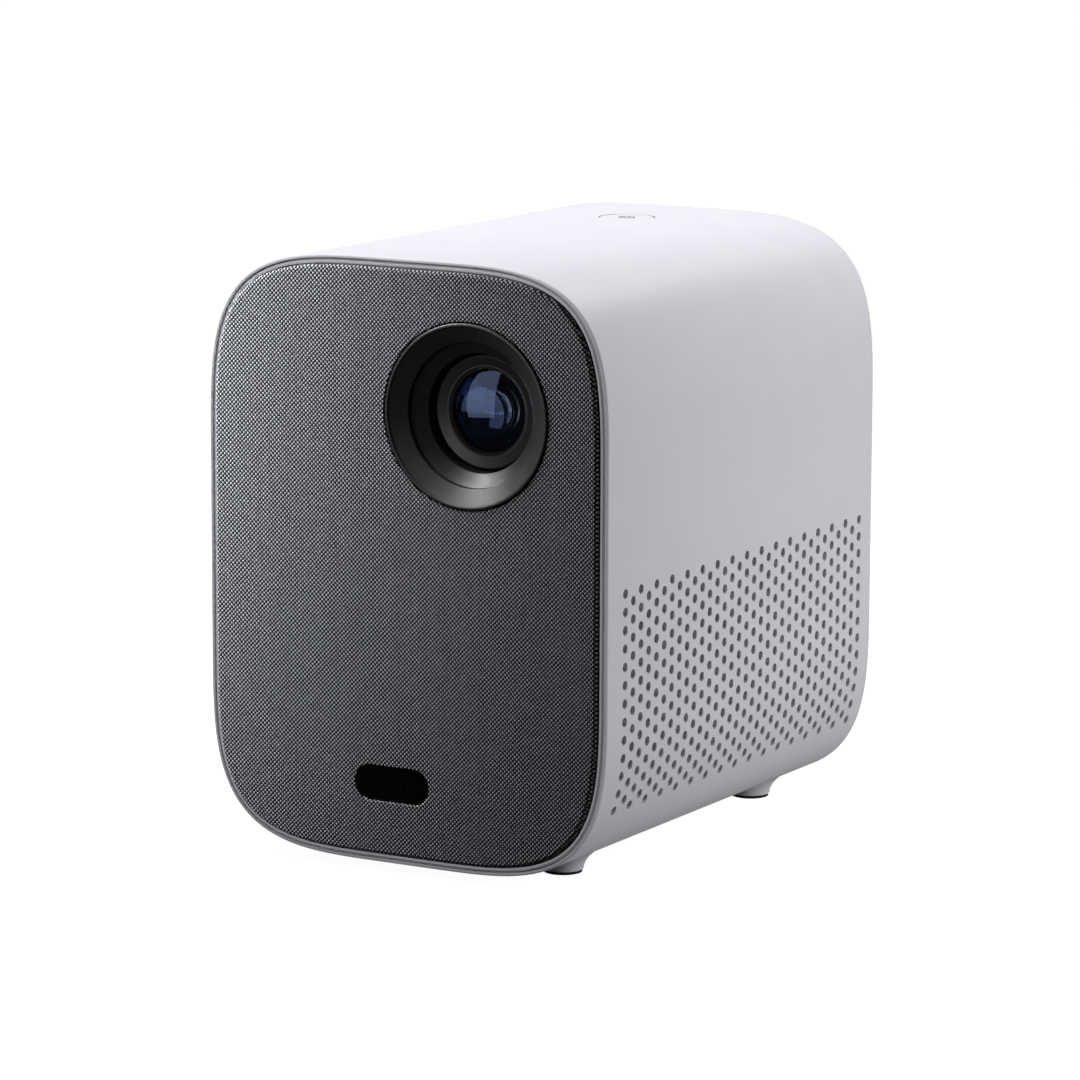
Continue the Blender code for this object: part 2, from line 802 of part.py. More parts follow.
def make_engine_housing():
    """The die-cast box behind the lens, open on top for its cover, with holes for lens, lamps and chip."""
    low = Vector(ENGINE_LOW)
    high = Vector(ENGINE_HIGH)
    wall = Vector((ENGINE_WALL,) * 3)
    housing = block("engine_housing", low, high)
    cavity_high = high - wall
    cavity_high.z = high.z + 5.0
    cut(
        housing,
        block("engine_cavity", low + wall, cavity_high),
        rod("tube_hole", TUBE_RADIUS + GAP, (LENS_X, low.y - 5, LENS_Z), (LENS_X, low.y + 5, LENS_Z), 40),
        rod("green_hole", LED_HOLE, (low.x - 5, GREEN_LED_Y, LENS_Z), (low.x + 5, GREEN_LED_Y, LENS_Z)),
        rod("blue_hole", LED_HOLE, (BLUE_LED_X, high.y - 5, LENS_Z), (BLUE_LED_X, high.y + 5, LENS_Z)),
        rod("red_hole", LED_HOLE, (RED_LED_X, high.y - 5, LENS_Z), (RED_LED_X, high.y + 5, LENS_Z)),
        block("chip_hole", (high.x - 5, DMD_Y - 7, LENS_Z - 6.5), (high.x + 5, DMD_Y + 7, LENS_Z + 6.5)),
    )
    finish_part(housing, "aluminium")
    cover = block("engine_cover", (low.x, low.y, high.z + GAP), (high.x, high.y, high.z + GAP + 1.4))
    finish_part(cover, "aluminium")


def make_led_module(name, face, inwards):
    """A lamp board against the housing, with its collimator in the hole. Inwards points into the engine."""
    board_half = 8.0
    inwards = Vector(inwards)
    across = Vector((abs(inwards.y), abs(inwards.x), 0.0))
    near = Vector(face) - inwards * GAP
    far = near - inwards * BOARD_THICK
    half = (across + Vector((0.0, 0.0, 1.0))) * board_half
    corners = [near - half, far + half]
    low = Vector(map(min, *corners))
    high = Vector(map(max, *corners))
    module = block(name, low, high)
    join(module, rod(f"{name}_lens", LED_HOLE - 0.6, near - inwards * 0.8, near + inwards * 6.0, 20))
    finish_part(module, "copper")


def make_light_path():
    """Three lamps, the prism that folds their light, and the picture chip's board with its heat sink."""
    high = Vector(ENGINE_HIGH)
    make_led_module("green_led_module", (ENGINE_LOW[0], GREEN_LED_Y, LENS_Z), (1, 0, 0))
    make_led_module("blue_led_module", (BLUE_LED_X, high.y, LENS_Z), (0, -1, 0))
    make_led_module("red_led_module", (RED_LED_X, high.y, LENS_Z), (0, -1, 0))
    size = 8.0
    corners = [(LENS_X - size, DMD_Y + size), (LENS_X + size, DMD_Y + size), (LENS_X + size, DMD_Y - size)]
    prism = plate("relay_prism", [corners], LENS_Z - size, LENS_Z + size, facing=AXIS_Z)
    finish_part(prism, "glass")
    left = high.x + GAP
    right = left + BOARD_THICK
    board = block("dmd_board", (left, DMD_Y - 13, LENS_Z - 15), (right, DMD_Y + 13, LENS_Z + 15))
    chip = block("dmd_chip", (left - 3.0, DMD_Y - 6, LENS_Z - 5.5), (left + 0.8, DMD_Y + 6, LENS_Z + 5.5))
    join(board, chip)
    finish_part(board, "board")
    reach = 7.0
    tips = right + GAP + reach
    fins = comb_outline((DMD_Y - 11, 0.0), (DMD_Y + 11, reach), 2.0, 5, 1.2)
    loop = [(tips - up, y) for y, up in fins]
    sink = plate("dmd_heat_sink", [loop], LENS_Z - 13, LENS_Z + 13, facing=AXIS_Z)
    finish_part(sink, "aluminium")


# ---------------------------------------------------------------- cooling


def make_heat_sink():
    """Fins that hang in the air path, with two heat pipes lying on the base plate."""
    fins = comb_outline((3.0, TRAY_TOP + GAP), (53.0, SINK_TOP), 4.0, 9, 1.2)
    sink = plate("heat_sink", [[(-z, y) for y, z in fins]], -34.0, 32.0, facing=FACING_RIGHT)
    finish_part(sink, "aluminium")
    rest = SINK_TOP + GAP + PIPE_RADIUS
    clear_of_lamp = BOARD_THICK + 4.0
    back = ENGINE_HIGH[1] + clear_of_lamp
    upright = [(BLUE_LED_X, back, 124), (BLUE_LED_X, back, 100), (BLUE_LED_X, back, rest), (24, back, rest)]
    finish_part(pipe("heat_pipe_rear", upright, PIPE_RADIUS), "copper")
    left = ENGINE_LOW[0] - clear_of_lamp
    side = [(left, 2, 122), (left, 10, 108), (left, 43, 96), (left, 44, rest), (20, 44, rest)]
    finish_part(pipe("heat_pipe_side", side, PIPE_RADIUS), "copper")


def make_fan():
    """A square fan frame with four spokes, and the impeller that turns in it on a short shaft."""
    low, high = FAN_X
    half = FAN_SIZE / 2
    square = rectangle(-half, -half, half, half)
    place = (0.0, FAN_Y, FAN_Z)
    frame = plate("fan_frame", [square, circle(0, 0, FAN_HOLE)], low, high, FACING_RIGHT, place)
    hub = rod("frame_hub", 9.5, (low + 0.5, FAN_Y, FAN_Z), (low + 2.5, FAN_Y, FAN_Z), 20)
    spokes = []
    for key, along, up in (("level", FAN_HOLE + 1.5, 1.2), ("upright", 1.2, FAN_HOLE + 1.5)):
        start = (low + 0.5, FAN_Y - along, FAN_Z - up)
        end = (low + 2.4, FAN_Y + along, FAN_Z + up)
        spokes.append(block(f"spoke_{key}", start, end))
    join(frame, *spokes, hub)
    cut(frame, rod("frame_bore", 1.8, (low - 2, FAN_Y, FAN_Z), (low + 5, FAN_Y, FAN_Z), 16))
    finish_part(frame, "dark_plastic")

    hub_back = low + 3.2
    profile = [
        (0.0, high - 0.6 - hub_back),
        (8.8, high - 0.6 - hub_back),
        (10.0, high - 1.8 - hub_back),
        (10.0, 0.0),
        (1.5, 0.0),
        (1.5, -2.4),
        (0.0, -2.4),
    ]
    impeller = turned("fan_impeller", profile, (hub_back, FAN_Y, FAN_Z), FACING_RIGHT, steps=28)
    blades = 7
    for index in range(blades):
        impeller = join(impeller, fan_blade(index, 2 * math.pi * index / blades, hub_back))
    finish_part(impeller, "dark_plastic")


def fan_blade(index, angle, hub_back):
    """One pitched blade from inside the hub to just short of the frame."""
    root = 9.0
    tip = FAN_HOLE - 0.9
    blade = block(f"blade_{index}", (-0.6, -6.2, root), (0.6, 6.2, tip))
    pitch = Matrix.Rotation(math.radians(50), 4, "Z")
    blade.data.transform(pitch @ blade.matrix_basis)
    blade.location = metres((hub_back + 5.8, FAN_Y, FAN_Z))
    blade.rotation_euler = (angle, 0.0, 0.0)
    return blade


# ---------------------------------------------------------------- speakers


def make_speaker(side, side_name, facing):
    """A closed speaker box with its driver facing the side grille: frame, magnet and moving cone."""
    low_x, high_x = sorted(side * x for x in SPEAKER_BOX_X)
    low = Vector((low_x, SPEAKER_Y - 24.0, TRAY_TOP + GAP))
    high = Vector((high_x, SPEAKER_Y + 24.0, SPEAKER_Z + 28.0))
    wall = Vector((SPEAKER_BOX_WALL,) * 3)
    box = block(f"speaker_box_{side_name}", low, high, bevel=2.0)
    inside = (side * 35.0, SPEAKER_Y, SPEAKER_Z)
    outside = (side * 50.0, SPEAKER_Y, SPEAKER_Z)
    cut(
        box,
        block(f"speaker_hollow_{side_name}", low + wall, high - wall),
        rod(f"driver_mouth_{side_name}", 19.4, inside, outside, 32),
    )
    finish_part(box, "dark_plastic")

    place = (side * SPEAKER_FACE, SPEAKER_Y, SPEAKER_Z)
    frame = [
        (21.0, 0.0),
        (21.0, -1.5),
        (18.9, -1.5),
        (12.0, -13.2),
        (12.0, -14.2),
        (7.0, -14.2),
        (7.0, -13.0),
        (10.4, -13.0),
        (17.3, -1.6),
        (17.3, 0.0),
    ]
    name = f"speaker_frame_{side_name}"
    finish_part(turned(name, frame, place, facing, closed=True, steps=24), "steel")
    magnet = [(0.0, -9.0), (5.0, -9.0), (5.0, -14.5), (12.5, -14.5), (12.5, -20.5), (0.0, -20.5)]
    finish_part(turned(f"speaker_magnet_{side_name}", magnet, place, facing, steps=20), "steel")
    cone = [
        (0.0, -5.2),
        (4.6, -6.4),
        (6.2, -7.6),
        (16.9, -0.3),
        (16.9, -1.0),
        (6.5, -8.4),
        (6.5, -12.0),
        (5.7, -12.0),
        (5.7, -8.2),
        (4.3, -7.2),
        (0.0, -6.0),
    ]
    finish_part(turned(f"speaker_cone_{side_name}", cone, place, facing, steps=24), "paper_cone")


# ---------------------------------------------------------------- boards, sockets and inner frame


def make_inner_frame():
    """The tray that carries the lower bay, and the shelf that carries the light engine."""
    tray = block("lower_tray", (-43, -62, TRAY_BOTTOM), (43, 54, TRAY_TOP))
    legs = []
    for x in (-26, 26):
        for y in (-30, 38):
            legs.append(rod(f"tray_leg_{x}_{y}", 3.0, (x, y, 5.6), (x, y, TRAY_BOTTOM + 1.0), 12))
    finish_part(join(tray, *legs), "grey_plastic")
    shelf = block("middle_shelf", (-54.7, -62, SHELF_BOTTOM), (54.7, 24, SHELF_TOP))
    posts = []
    for x in (-26, 36):
        for y in (-14, 20):
            top = ENGINE_LOW[2] - GAP
            posts.append(rod(f"engine_post_{x}_{y}", 3.0, (x, y, SHELF_BOTTOM + 1.0), (x, y, top), 12))
    finish_part(join(shelf, *posts), "grey_plastic")


def make_main_board():
    """The upright circuit board in front of the rear cover."""
    board = block("main_board", (-44, BOARD_FRONT, 22), (44, BOARD_FRONT + BOARD_THICK, 132))
    finish_part(board, "board")


def make_sockets():
    """Power, picture, data and sound sockets on the main board, showing through the rear cover."""
    depth = PORT_BACK - PORT_FRONT
    power = [
        (0.0, -1.5),
        (0.8, -1.5),
        (0.8, -8.0),
        (3.1, -8.0),
        (3.1, 0.0),
        (DC_RADIUS, 0.0),
        (DC_RADIUS, -depth),
        (0.0, -depth),
    ]
    inlet = turned("power_inlet", power, (DC_X, PORT_BACK, PORT_Z), FACING_BACK, steps=24)
    finish_part(inlet, "dark_plastic")
    sound = [
        (0.0, -9.5),
        (1.8, -9.5),
        (1.8, 0.0),
        (AUDIO_RADIUS, 0.0),
        (AUDIO_RADIUS, -depth),
        (0.0, -depth),
    ]
    jack = turned("audio_socket", sound, (AUDIO_X, PORT_BACK, PORT_Z), FACING_BACK, steps=20)
    finish_part(jack, "dark_plastic")
    make_slot_socket("hdmi_socket", HDMI_X, HDMI_HALF, (5.5, 0.6), -0.2)
    make_slot_socket("usb_socket", USB_X, USB_HALF, (5.6, 0.9), 0.8)


def make_slot_socket(name, x, half_size, tongue, tongue_rise):
    """A flat metal socket: a box open at the back with a contact tongue inside."""
    wall = 0.6
    half_width, half_height = half_size
    socket = block(
        name,
        (x - half_width, PORT_FRONT, PORT_Z - half_height),
        (x + half_width, PORT_BACK, PORT_Z + half_height),
    )
    bottom = PORT_BACK - 9.0
    mouth = block(
        f"{name}_mouth",
        (x - half_width + wall, bottom, PORT_Z - half_height + wall),
        (x + half_width - wall, PORT_BACK + 3.0, PORT_Z + half_height - wall),
    )
    cut(socket, mouth)
    half_tongue, half_thick = tongue
    z = PORT_Z + tongue_rise
    join(
        socket,
        block(
            f"{name}_tongue",
            (x - half_tongue, bottom - 0.8, z - half_thick),
            (x + half_tongue, PORT_BACK - 1.2, z + half_thick),
        ),
    )
    finish_part(socket, "steel")


make_main_shell()
make_trim_ring()
make_front_panel()
make_lens_bezel()
make_window()
make_rear_cover()
make_rear_screws()
make_feet()
make_tripod_insert()
make_power_button()
make_lens_tube()
make_focus_barrel()
make_focus_drive()
make_engine_housing()
make_light_path()
make_heat_sink()
make_fan()
make_speaker(-1, "left", FACING_LEFT)
make_speaker(1, "right", FACING_RIGHT)
make_inner_frame()
make_main_board()
make_sockets()
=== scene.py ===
"""The looks of the home projector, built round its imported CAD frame.

Lengths are in millimetres until a mesh is built. The lens looks along -Y, +X is to the right
seen from the front, and +Z is up.
"""

import cmath
import json
import math

import bpy
import numpy as np
from mathutils import Matrix, Vector
from mathutils.geometry import tessellate_polygon


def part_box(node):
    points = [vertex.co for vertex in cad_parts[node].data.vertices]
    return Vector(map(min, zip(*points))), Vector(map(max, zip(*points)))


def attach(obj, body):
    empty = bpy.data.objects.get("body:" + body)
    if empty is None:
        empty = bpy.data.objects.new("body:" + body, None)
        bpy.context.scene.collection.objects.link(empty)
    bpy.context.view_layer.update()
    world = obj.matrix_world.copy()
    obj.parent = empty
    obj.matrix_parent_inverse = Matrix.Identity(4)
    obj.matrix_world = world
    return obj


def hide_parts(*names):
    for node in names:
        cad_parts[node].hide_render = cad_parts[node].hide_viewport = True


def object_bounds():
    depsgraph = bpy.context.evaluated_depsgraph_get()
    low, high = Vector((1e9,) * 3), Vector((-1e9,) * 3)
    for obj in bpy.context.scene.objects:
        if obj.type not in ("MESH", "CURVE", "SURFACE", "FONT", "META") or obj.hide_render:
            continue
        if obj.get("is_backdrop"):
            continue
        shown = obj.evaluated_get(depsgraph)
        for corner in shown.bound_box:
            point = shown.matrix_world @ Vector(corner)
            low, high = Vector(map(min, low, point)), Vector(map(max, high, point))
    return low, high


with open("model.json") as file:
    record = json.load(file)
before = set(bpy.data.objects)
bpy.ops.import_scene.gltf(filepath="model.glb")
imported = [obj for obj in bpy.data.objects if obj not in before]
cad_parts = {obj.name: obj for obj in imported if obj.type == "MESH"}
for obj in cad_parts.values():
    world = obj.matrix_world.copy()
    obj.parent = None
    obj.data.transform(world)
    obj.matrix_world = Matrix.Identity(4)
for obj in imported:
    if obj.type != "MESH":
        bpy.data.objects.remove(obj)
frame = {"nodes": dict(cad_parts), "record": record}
CAD_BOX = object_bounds()
MM = 0.001
FORWARD = (0, -1, 0)
BACKWARD = (0, 1, 0)
UP = (0, 0, 1)

# Twice the area, in square millimetres, under which a triangle counts as empty.
SLIVER = 1e-4

# Two points nearer than this, in millimetres, count as one.
TOUCHING = 1e-6


def span(node):
    """A CAD node's lowest and highest corners, in millimetres."""
    low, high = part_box(node)
    return low / MM, high / MM


def middle(node):
    """The middle of a CAD node's box, in millimetres."""
    low, high = span(node)
    return (low + high) / 2


def face(node, grow=0.0):
    """The middle x and z of a CAD node, and its half width and half height, grown all round."""
    low, high = span(node)
    half_width = (high.x - low.x) / 2 + grow
    half_height = (high.z - low.z) / 2 + grow
    return (low.x + high.x) / 2, (low.z + high.z) / 2, half_width, half_height


# ------------------------ sizes

SHELL_LOW, SHELL_HIGH = span("main_shell")
WIDTH = SHELL_HIGH.x - SHELL_LOW.x
HEIGHT = SHELL_HIGH.z - SHELL_LOW.z
Y_RIM = SHELL_LOW.y
Y_BACK = SHELL_HIGH.y
Z_MIDDLE = (SHELL_LOW.z + SHELL_HIGH.z) / 2
Z_TOP = SHELL_HIGH.z
WALL = 2.5

# The outline's corners are superellipses.
CORNER = 50.9
CORNER_POWER = 3.58

Y_FRONT = span("lens_bezel")[0].y
LENS = middle("lens_bezel")
BUTTON = middle("power_button")
BUTTON_TOP = span("power_button")[1].z
BUTTON_RADIUS = 7.2
BUTTON_GAP = 0.25
SIGN_RADIUS = 1.9
SIGN_STROKE = 0.6
SIGN_FLATNESS = 0.25
TRIPOD_RADIUS = 5.2
THREAD_PITCH = 1.27

# The side holes stand in a triangular pattern: neighbours in one column are two rises apart, and the
# rows are a hair closer than in an even pattern.
HOLE_RADIUS = 1.08
HOLE_EDGE = 0.3
HOLE_COLUMNS = 33
HOLE_ROWS = 25
HOLE_PITCH = 3.951
HOLE_RISE = HOLE_PITCH / math.sqrt(3) * 0.9969
HOLE_FIRST_Y = Y_RIM + 9.0
HOLE_FIRST_DROP = 3.1

FABRIC_INSET = 2.45
FABRIC_GAP = 0.3
Y_FABRIC, FABRIC_BACK = span("front_fabric")[0].y, span("front_fabric")[1].y
LEDGE = span("front_baffle")[1].y + 0.3
HOOD_RADIUS = 23.0
EYE_RADIUS = 3.35

# A foot's skirt flares out as it rises from its lower edge. A pocket in it holds the rubber pad.
SKIRT_LOW = 0.75
SKIRT_REACH = 9.0
SKIRT_RADIUS = 5.25
SKIRT_FLARE = 0.1286
SKIRT_GAP = 0.12
POCKET_RADIUS = 4.3
POCKET_TOP = 1.9
CORE_TOP = 2.6

COVER_INSET = 2.8
COVER_FRONT, COVER_BACK = span("rear_cover")[0].y, span("rear_cover")[1].y
VENT_COUNT = 13
VENT_PITCH = 6.0
VENT_WIDTH = 2.6
VENT_HEIGHT = 52.0
VENT_Z = 92.0
SCREW_RADIUS = 2.8
COUNTERBORE_RADIUS = 3.2
COUNTERBORE_DEPTH = 1.2

# How round each socket's cut-out is: 1 has half circles at its ends.
SOCKETS = {"power_inlet": 1.0, "audio_socket": 1.0, "hdmi_socket": 0.2, "usb_socket": 0.15}
SOCKET_GAP = 0.4


# ------------------------ mesh building


class Skin:
    """Points, each with its own normal, and the faces between them, gathered for one mesh."""

    def __init__(self):
        self.points = []
        self.normals = []
        self.faces = []

    def add(self, points, normals):
        """Adds points and gives their numbers."""
        first = len(self.points)
        self.points.extend(tuple(point) for point in points)
        self.normals.extend(tuple(normal) for normal in normals)
        return list(range(first, len(self.points)))

    def between(self, one, other):
        """Closed band of faces between two rows; a row of one point makes a fan."""
        count = max(len(one), len(other))
        for here in range(count):
            there = (here + 1) % count
            if len(one) == 1:
                self.faces.append((one[0], other[here], other[there]))
            elif len(other) == 1:
                self.faces.append((one[here], one[there], other[0]))
            else:
                self.faces.append((one[here], one[there], other[there], other[here]))

    def bridge(self, outer, inner):
        """Faces between two loops of unlike length, given as (angle, point number) in rising order."""
        first = 0
        second = 0
        while first < len(outer) or second < len(inner):
            next_outer = outer[(first + 1) % len(outer)]
            next_inner = inner[(second + 1) % len(inner)]
            outer_angle = next_outer[0] + (2 * math.pi if first + 1 >= len(outer) else 0)
            inner_angle = next_inner[0] + (2 * math.pi if second + 1 >= len(inner) else 0)
            here = (outer[first % len(outer)][1], inner[second % len(inner)][1])
            if second >= len(inner) or (first < len(outer) and outer_angle <= inner_angle):
                self.faces.append((here[0], next_outer[1], here[1]))
                first += 1
            else:
                self.faces.append((here[0], next_inner[1], here[1]))
                second += 1

    def build(self, name, slot, body="chassis", replaces=(), material=None):
        """Makes the mesh object, with every face turned to the side its normals are on."""
        points = np.array(self.points) * MM
        normals = np.array(self.normals)
        normals /= np.linalg.norm(normals, axis=1, keepdims=True)
        faces = []
        for face in self.faces:
            corners = points[list(face)]
            if len(face) == 4:
                facing = np.cross(corners[2] - corners[0], corners[3] - corners[1])
            else:
                facing = np.cross(corners[1] - corners[0], corners[2] - corners[0])
            wanted = normals[list(face)].sum(axis=0)
            faces.append(face if facing @ wanted >= 0 else face[::-1])
        mesh = bpy.data.meshes.new(name)
        mesh.from_pydata(points.tolist(), [], faces, shade_flat=False)
        mesh.normals_split_custom_set_from_vertices(normals.tolist())
        mesh.materials.append(material or MATERIALS[slot])
        return place(bpy.data.objects.new(name, mesh), body, replaces)


def place(obj, body, replaces=()):
    """Puts a finished piece in the scene, on its body and in place of its CAD nodes."""
    bpy.context.scene.collection.objects.link(obj)
    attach(obj, body)
    if replaces:
        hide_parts(*replaces)
    return obj


def rounded(corners, closed=True, steps=4):
    """A section's points and outward normals, with each (x, y, radius) corner rounded off.

    Points and normals are complex numbers. An open section runs from one cap or axis to the
    other, and its ends aren't rounded. A corner of radius 0 is a point on a smooth curve.
    starts gives each corner's first point.
    """
    places = [complex(x, y) for x, y, _ in corners]
    following = places[1:] + places[:1]
    area = sum((one.conjugate() * two).imag for one, two in zip(places, following))
    outward = -1j if area > 0 else 1j
    points, normals, starts = [], [], []
    for number, (x, y, radius) in enumerate(corners):
        corner = places[number]
        starts.append(len(points))
        last = number == len(corners) - 1
        before = unit(corner - places[number - 1])
        after = unit(following[number] - corner)
        if not closed and number == 0:
            before = after
        if not closed and last:
            after = before
        turn = cmath.phase(after / before)
        if radius == 0:
            points.append(corner)
            normals.append(outward * before * cmath.exp(0.5j * turn))
            continue
        start = corner - before * radius * math.tan(abs(turn) / 2)
        hub = start + before * radius * (1j if turn > 0 else -1j)
        for step in range(steps + 1):
            swing = cmath.exp(1j * turn * step / steps)
            points.append(hub + (start - hub) * swing)
            normals.append(outward * before * swing)
    return points, normals, starts


def unit(number):
    """A complex number's direction."""
    return number / abs(number)


# ------------------------ the housing's outline


def outline_table(steps=400):
    """Distances along the outline, its points and its normals, from the middle of the right side down."""
    even = np.linspace(0.0, 1.0, steps + 1)
    pull = even ** (CORNER_POWER / 2)
    push = (1 - even) ** (CORNER_POWER / 2)
    angle = pull / (pull + push) * math.pi / 2
    across = np.cos(angle).clip(0) ** (2 / CORNER_POWER)
    up = np.sin(angle).clip(0) ** (2 / CORNER_POWER)
    points = [[WIDTH / 2, 0.0]]
    normals = [[1.0, 0.0]]
    for side, rise, order in ((1, -1, 1), (-1, -1, -1), (-1, 1, 1), (1, 1, -1)):
        corner_x = side * (WIDTH / 2 - CORNER + CORNER * across[::order])
        corner_z = rise * (HEIGHT / 2 - CORNER + CORNER * up[::order])
        normal_x = side * across[::order] ** (CORNER_POWER - 1)
        normal_z = rise * up[::order] ** (CORNER_POWER - 1)
        points.extend(zip(corner_x, corner_z))
        normals.extend(zip(normal_x, normal_z))
    points.append(points[0])
    normals.append(normals[0])
    points = np.array(points)
    normals = np.array(normals)
    normals /= np.linalg.norm(normals, axis=1, keepdims=True)
    lengths = np.linalg.norm(np.diff(points, axis=0), axis=1)
    return np.concatenate([[0.0], np.cumsum(lengths)]), points, normals


ALONG, OUTLINE, OUTLINE_NORMALS = outline_table()
AROUND = ALONG[-1]
BOTTOM, LEFT, TOP = AROUND / 4, AROUND / 2, AROUND * 3 / 4


def outline(along, inset=0.0):
    """Points (x, z) and normals of the housing's outline at distances along it."""
    along = np.mod(along, AROUND)
    normals = np.stack([np.interp(along, ALONG, OUTLINE_NORMALS[:, axis]) for axis in (0, 1)], -1)
    normals /= np.linalg.norm(normals, axis=-1, keepdims=True)
    points = np.stack([np.interp(along, ALONG, OUTLINE[:, axis]) for axis in (0, 1)], -1)
    points = points - normals * np.expand_dims(inset, -1)
    points[..., 1] += Z_MIDDLE
    return points, normals


def on_housing(along, y, inset=0.0, tilt=0.0):
    """Points on the housing's surface, or inset from it, and normals tilted towards +Y by tilt."""
    flat, flat_normals = outline(np.asarray(along, float), inset)
    y = np.broadcast_to(y, flat[..., 0].shape)
    points = np.stack([flat[..., 0], y, flat[..., 1]], -1)
    outwards = np.stack([flat_normals[..., 0], np.zeros_like(y), flat_normals[..., 1]], -1)
    tilt = np.expand_dims(np.broadcast_to(tilt, y.shape), -1)
    return points, outwards * np.cos(tilt) + np.array([0.0, 1.0, 0.0]) * np.sin(tilt)


def housing_grid(skin, corners, stations, steps=4):
    """Points of a closed section carried round the outline: rows follow the section."""
    points, normals, starts = rounded(corners, steps=steps)
    rows = []
    for point, normal in zip(points, normals):
        tilt = cmath.phase(normal)
        rows.append(skin.add(*on_housing(stations, point.imag, -point.real, tilt)))
    return rows, starts


def sweep(name, corners, slot, replaces, stations=240):
    """A closed section of (inset, y, radius) corners, carried round the housing's outline."""
    skin = Skin()
    turned_corners = [(-inset, y, radius) for inset, y, radius in corners]
    rows, _ = housing_grid(skin, turned_corners, np.linspace(0, AROUND, stations, endpoint=False))
    for one, other in zip(rows, rows[1:] + rows[:1]):
        skin.between(one, other)
    return skin.build(name, slot, replaces=replaces)


# ------------------------ turned and flat pieces


def turned_rows(skin, corners, centre, axis, closed=True, sides=96):
    """A section of (radius, height, corner radius), turned about an axis through centre."""
    axis = Vector(axis).normalized()
    first = axis.orthogonal().normalized()
    second = axis.cross(first)
    points, normals, _ = rounded(corners, closed)
    rows = []
    for point, normal in zip(points, normals):
        count = sides if point.real > TOUCHING else 1
        ring = []
        ring_normals = []
        for index in range(count):
            angle = 2 * math.pi * index / count
            outwards = first * math.cos(angle) + second * math.sin(angle)
            ring.append(Vector(centre) + outwards * point.real + axis * point.imag)
            facing = axis * normal.imag
            if count > 1:
                facing = outwards * normal.real + facing
            ring_normals.append(facing)
        rows.append(skin.add(ring, ring_normals))
    for one, other in zip(rows, rows[1:] + (rows[:1] if closed else [])):
        if len(one) > 1 or len(other) > 1:
            skin.between(one, other)


def turned(name, corners, centre, axis, slot, closed=True, sides=96, **where):
    """A piece turned from one section."""
    skin = Skin()
    turned_rows(skin, corners, centre, axis, closed, sides)
    return skin.build(name, slot, **where)


def rounded_box(x, z, half_width, half_height, radius, steps=12, hole=True):
    """A loop of (x, z) points and normals that point out of the material; round when radius fills it."""
    loop = []
    for quarter, (side, rise) in enumerate(((1, 1), (-1, 1), (-1, -1), (1, -1))):
        hub = complex(x + side * (half_width - radius), z + rise * (half_height - radius))
        for step in range(steps + 1):
            swing = cmath.exp(1j * (quarter + step / steps) * math.pi / 2)
            point = hub + radius * swing
            if not loop or abs(point - loop[-1][0]) > TOUCHING:
                loop.append((point, -swing if hole else swing))
    if abs(loop[0][0] - loop[-1][0]) < TOUCHING:
        loop.pop()
    return loop


def circle(x, z, radius, steps=12, hole=True):
    """A round loop, as rounded_box gives it."""
    return rounded_box(x, z, radius, radius, radius, steps, hole)


def housing_loop(inset, stations=240):
    """The housing's outline, inset, as a loop of points and outward normals."""
    points, normals = outline(np.linspace(0, AROUND, stations, endpoint=False), inset)
    return [(complex(*point), complex(*normal)) for point, normal in zip(points, normals)]


def edge_section(reach, front, back, front_round, back_round):
    """A plate's edge: its faces run in by reach, and its corners are rounded."""
    return [(-reach, front, 0), (0.0, front, front_round), (0.0, back, back_round), (-reach, back, 0)]


def plate_on(skin, edges, steps=4):
    """A flat piece between its front and back faces.

    Each edge is a loop and its section, as (offset, y, radius) corners from the front face to
    the back one, where offset is measured out of the material.
    """
    caps = ([], [])
    for loop, corners in edges:
        points, normals, _ = rounded(corners, closed=False, steps=steps)
        rows = []
        for point, normal in zip(points, normals):
            ring = [start + way * point.real for start, way in loop]
            row_points = [(spot.real, point.imag, spot.imag) for spot in ring]
            row_normals = [(way.real * normal.real, normal.imag, way.imag * normal.real) for _, way in loop]
            rows.append(skin.add(row_points, row_normals))
        for one, other in zip(rows, rows[1:]):
            skin.between(one, other)
        caps[0].append(rows[0])
        caps[1].append(rows[-1])
    # Three points in a line make an empty triangle, which would spoil the normals beside it.
    for cap in caps:
        numbers = [number for row in cap for number in row]
        outlines = [[Vector((skin.points[n][0], skin.points[n][2], 0)) for n in row] for row in cap]
        spots = [spot for spots in outlines for spot in spots]
        for corner in tessellate_polygon(outlines):
            one, two, three = (spots[index] for index in corner)
            if (two - one).cross(three - one).length > SLIVER:
                skin.faces.append(tuple(numbers[index] for index in corner))


def plate(name, edges, slot, steps=4, **where):
    """A flat piece of its own."""
    skin = Skin()
    plate_on(skin, edges, steps)
    return skin.build(name, slot, **where)


# ------------------------ materials


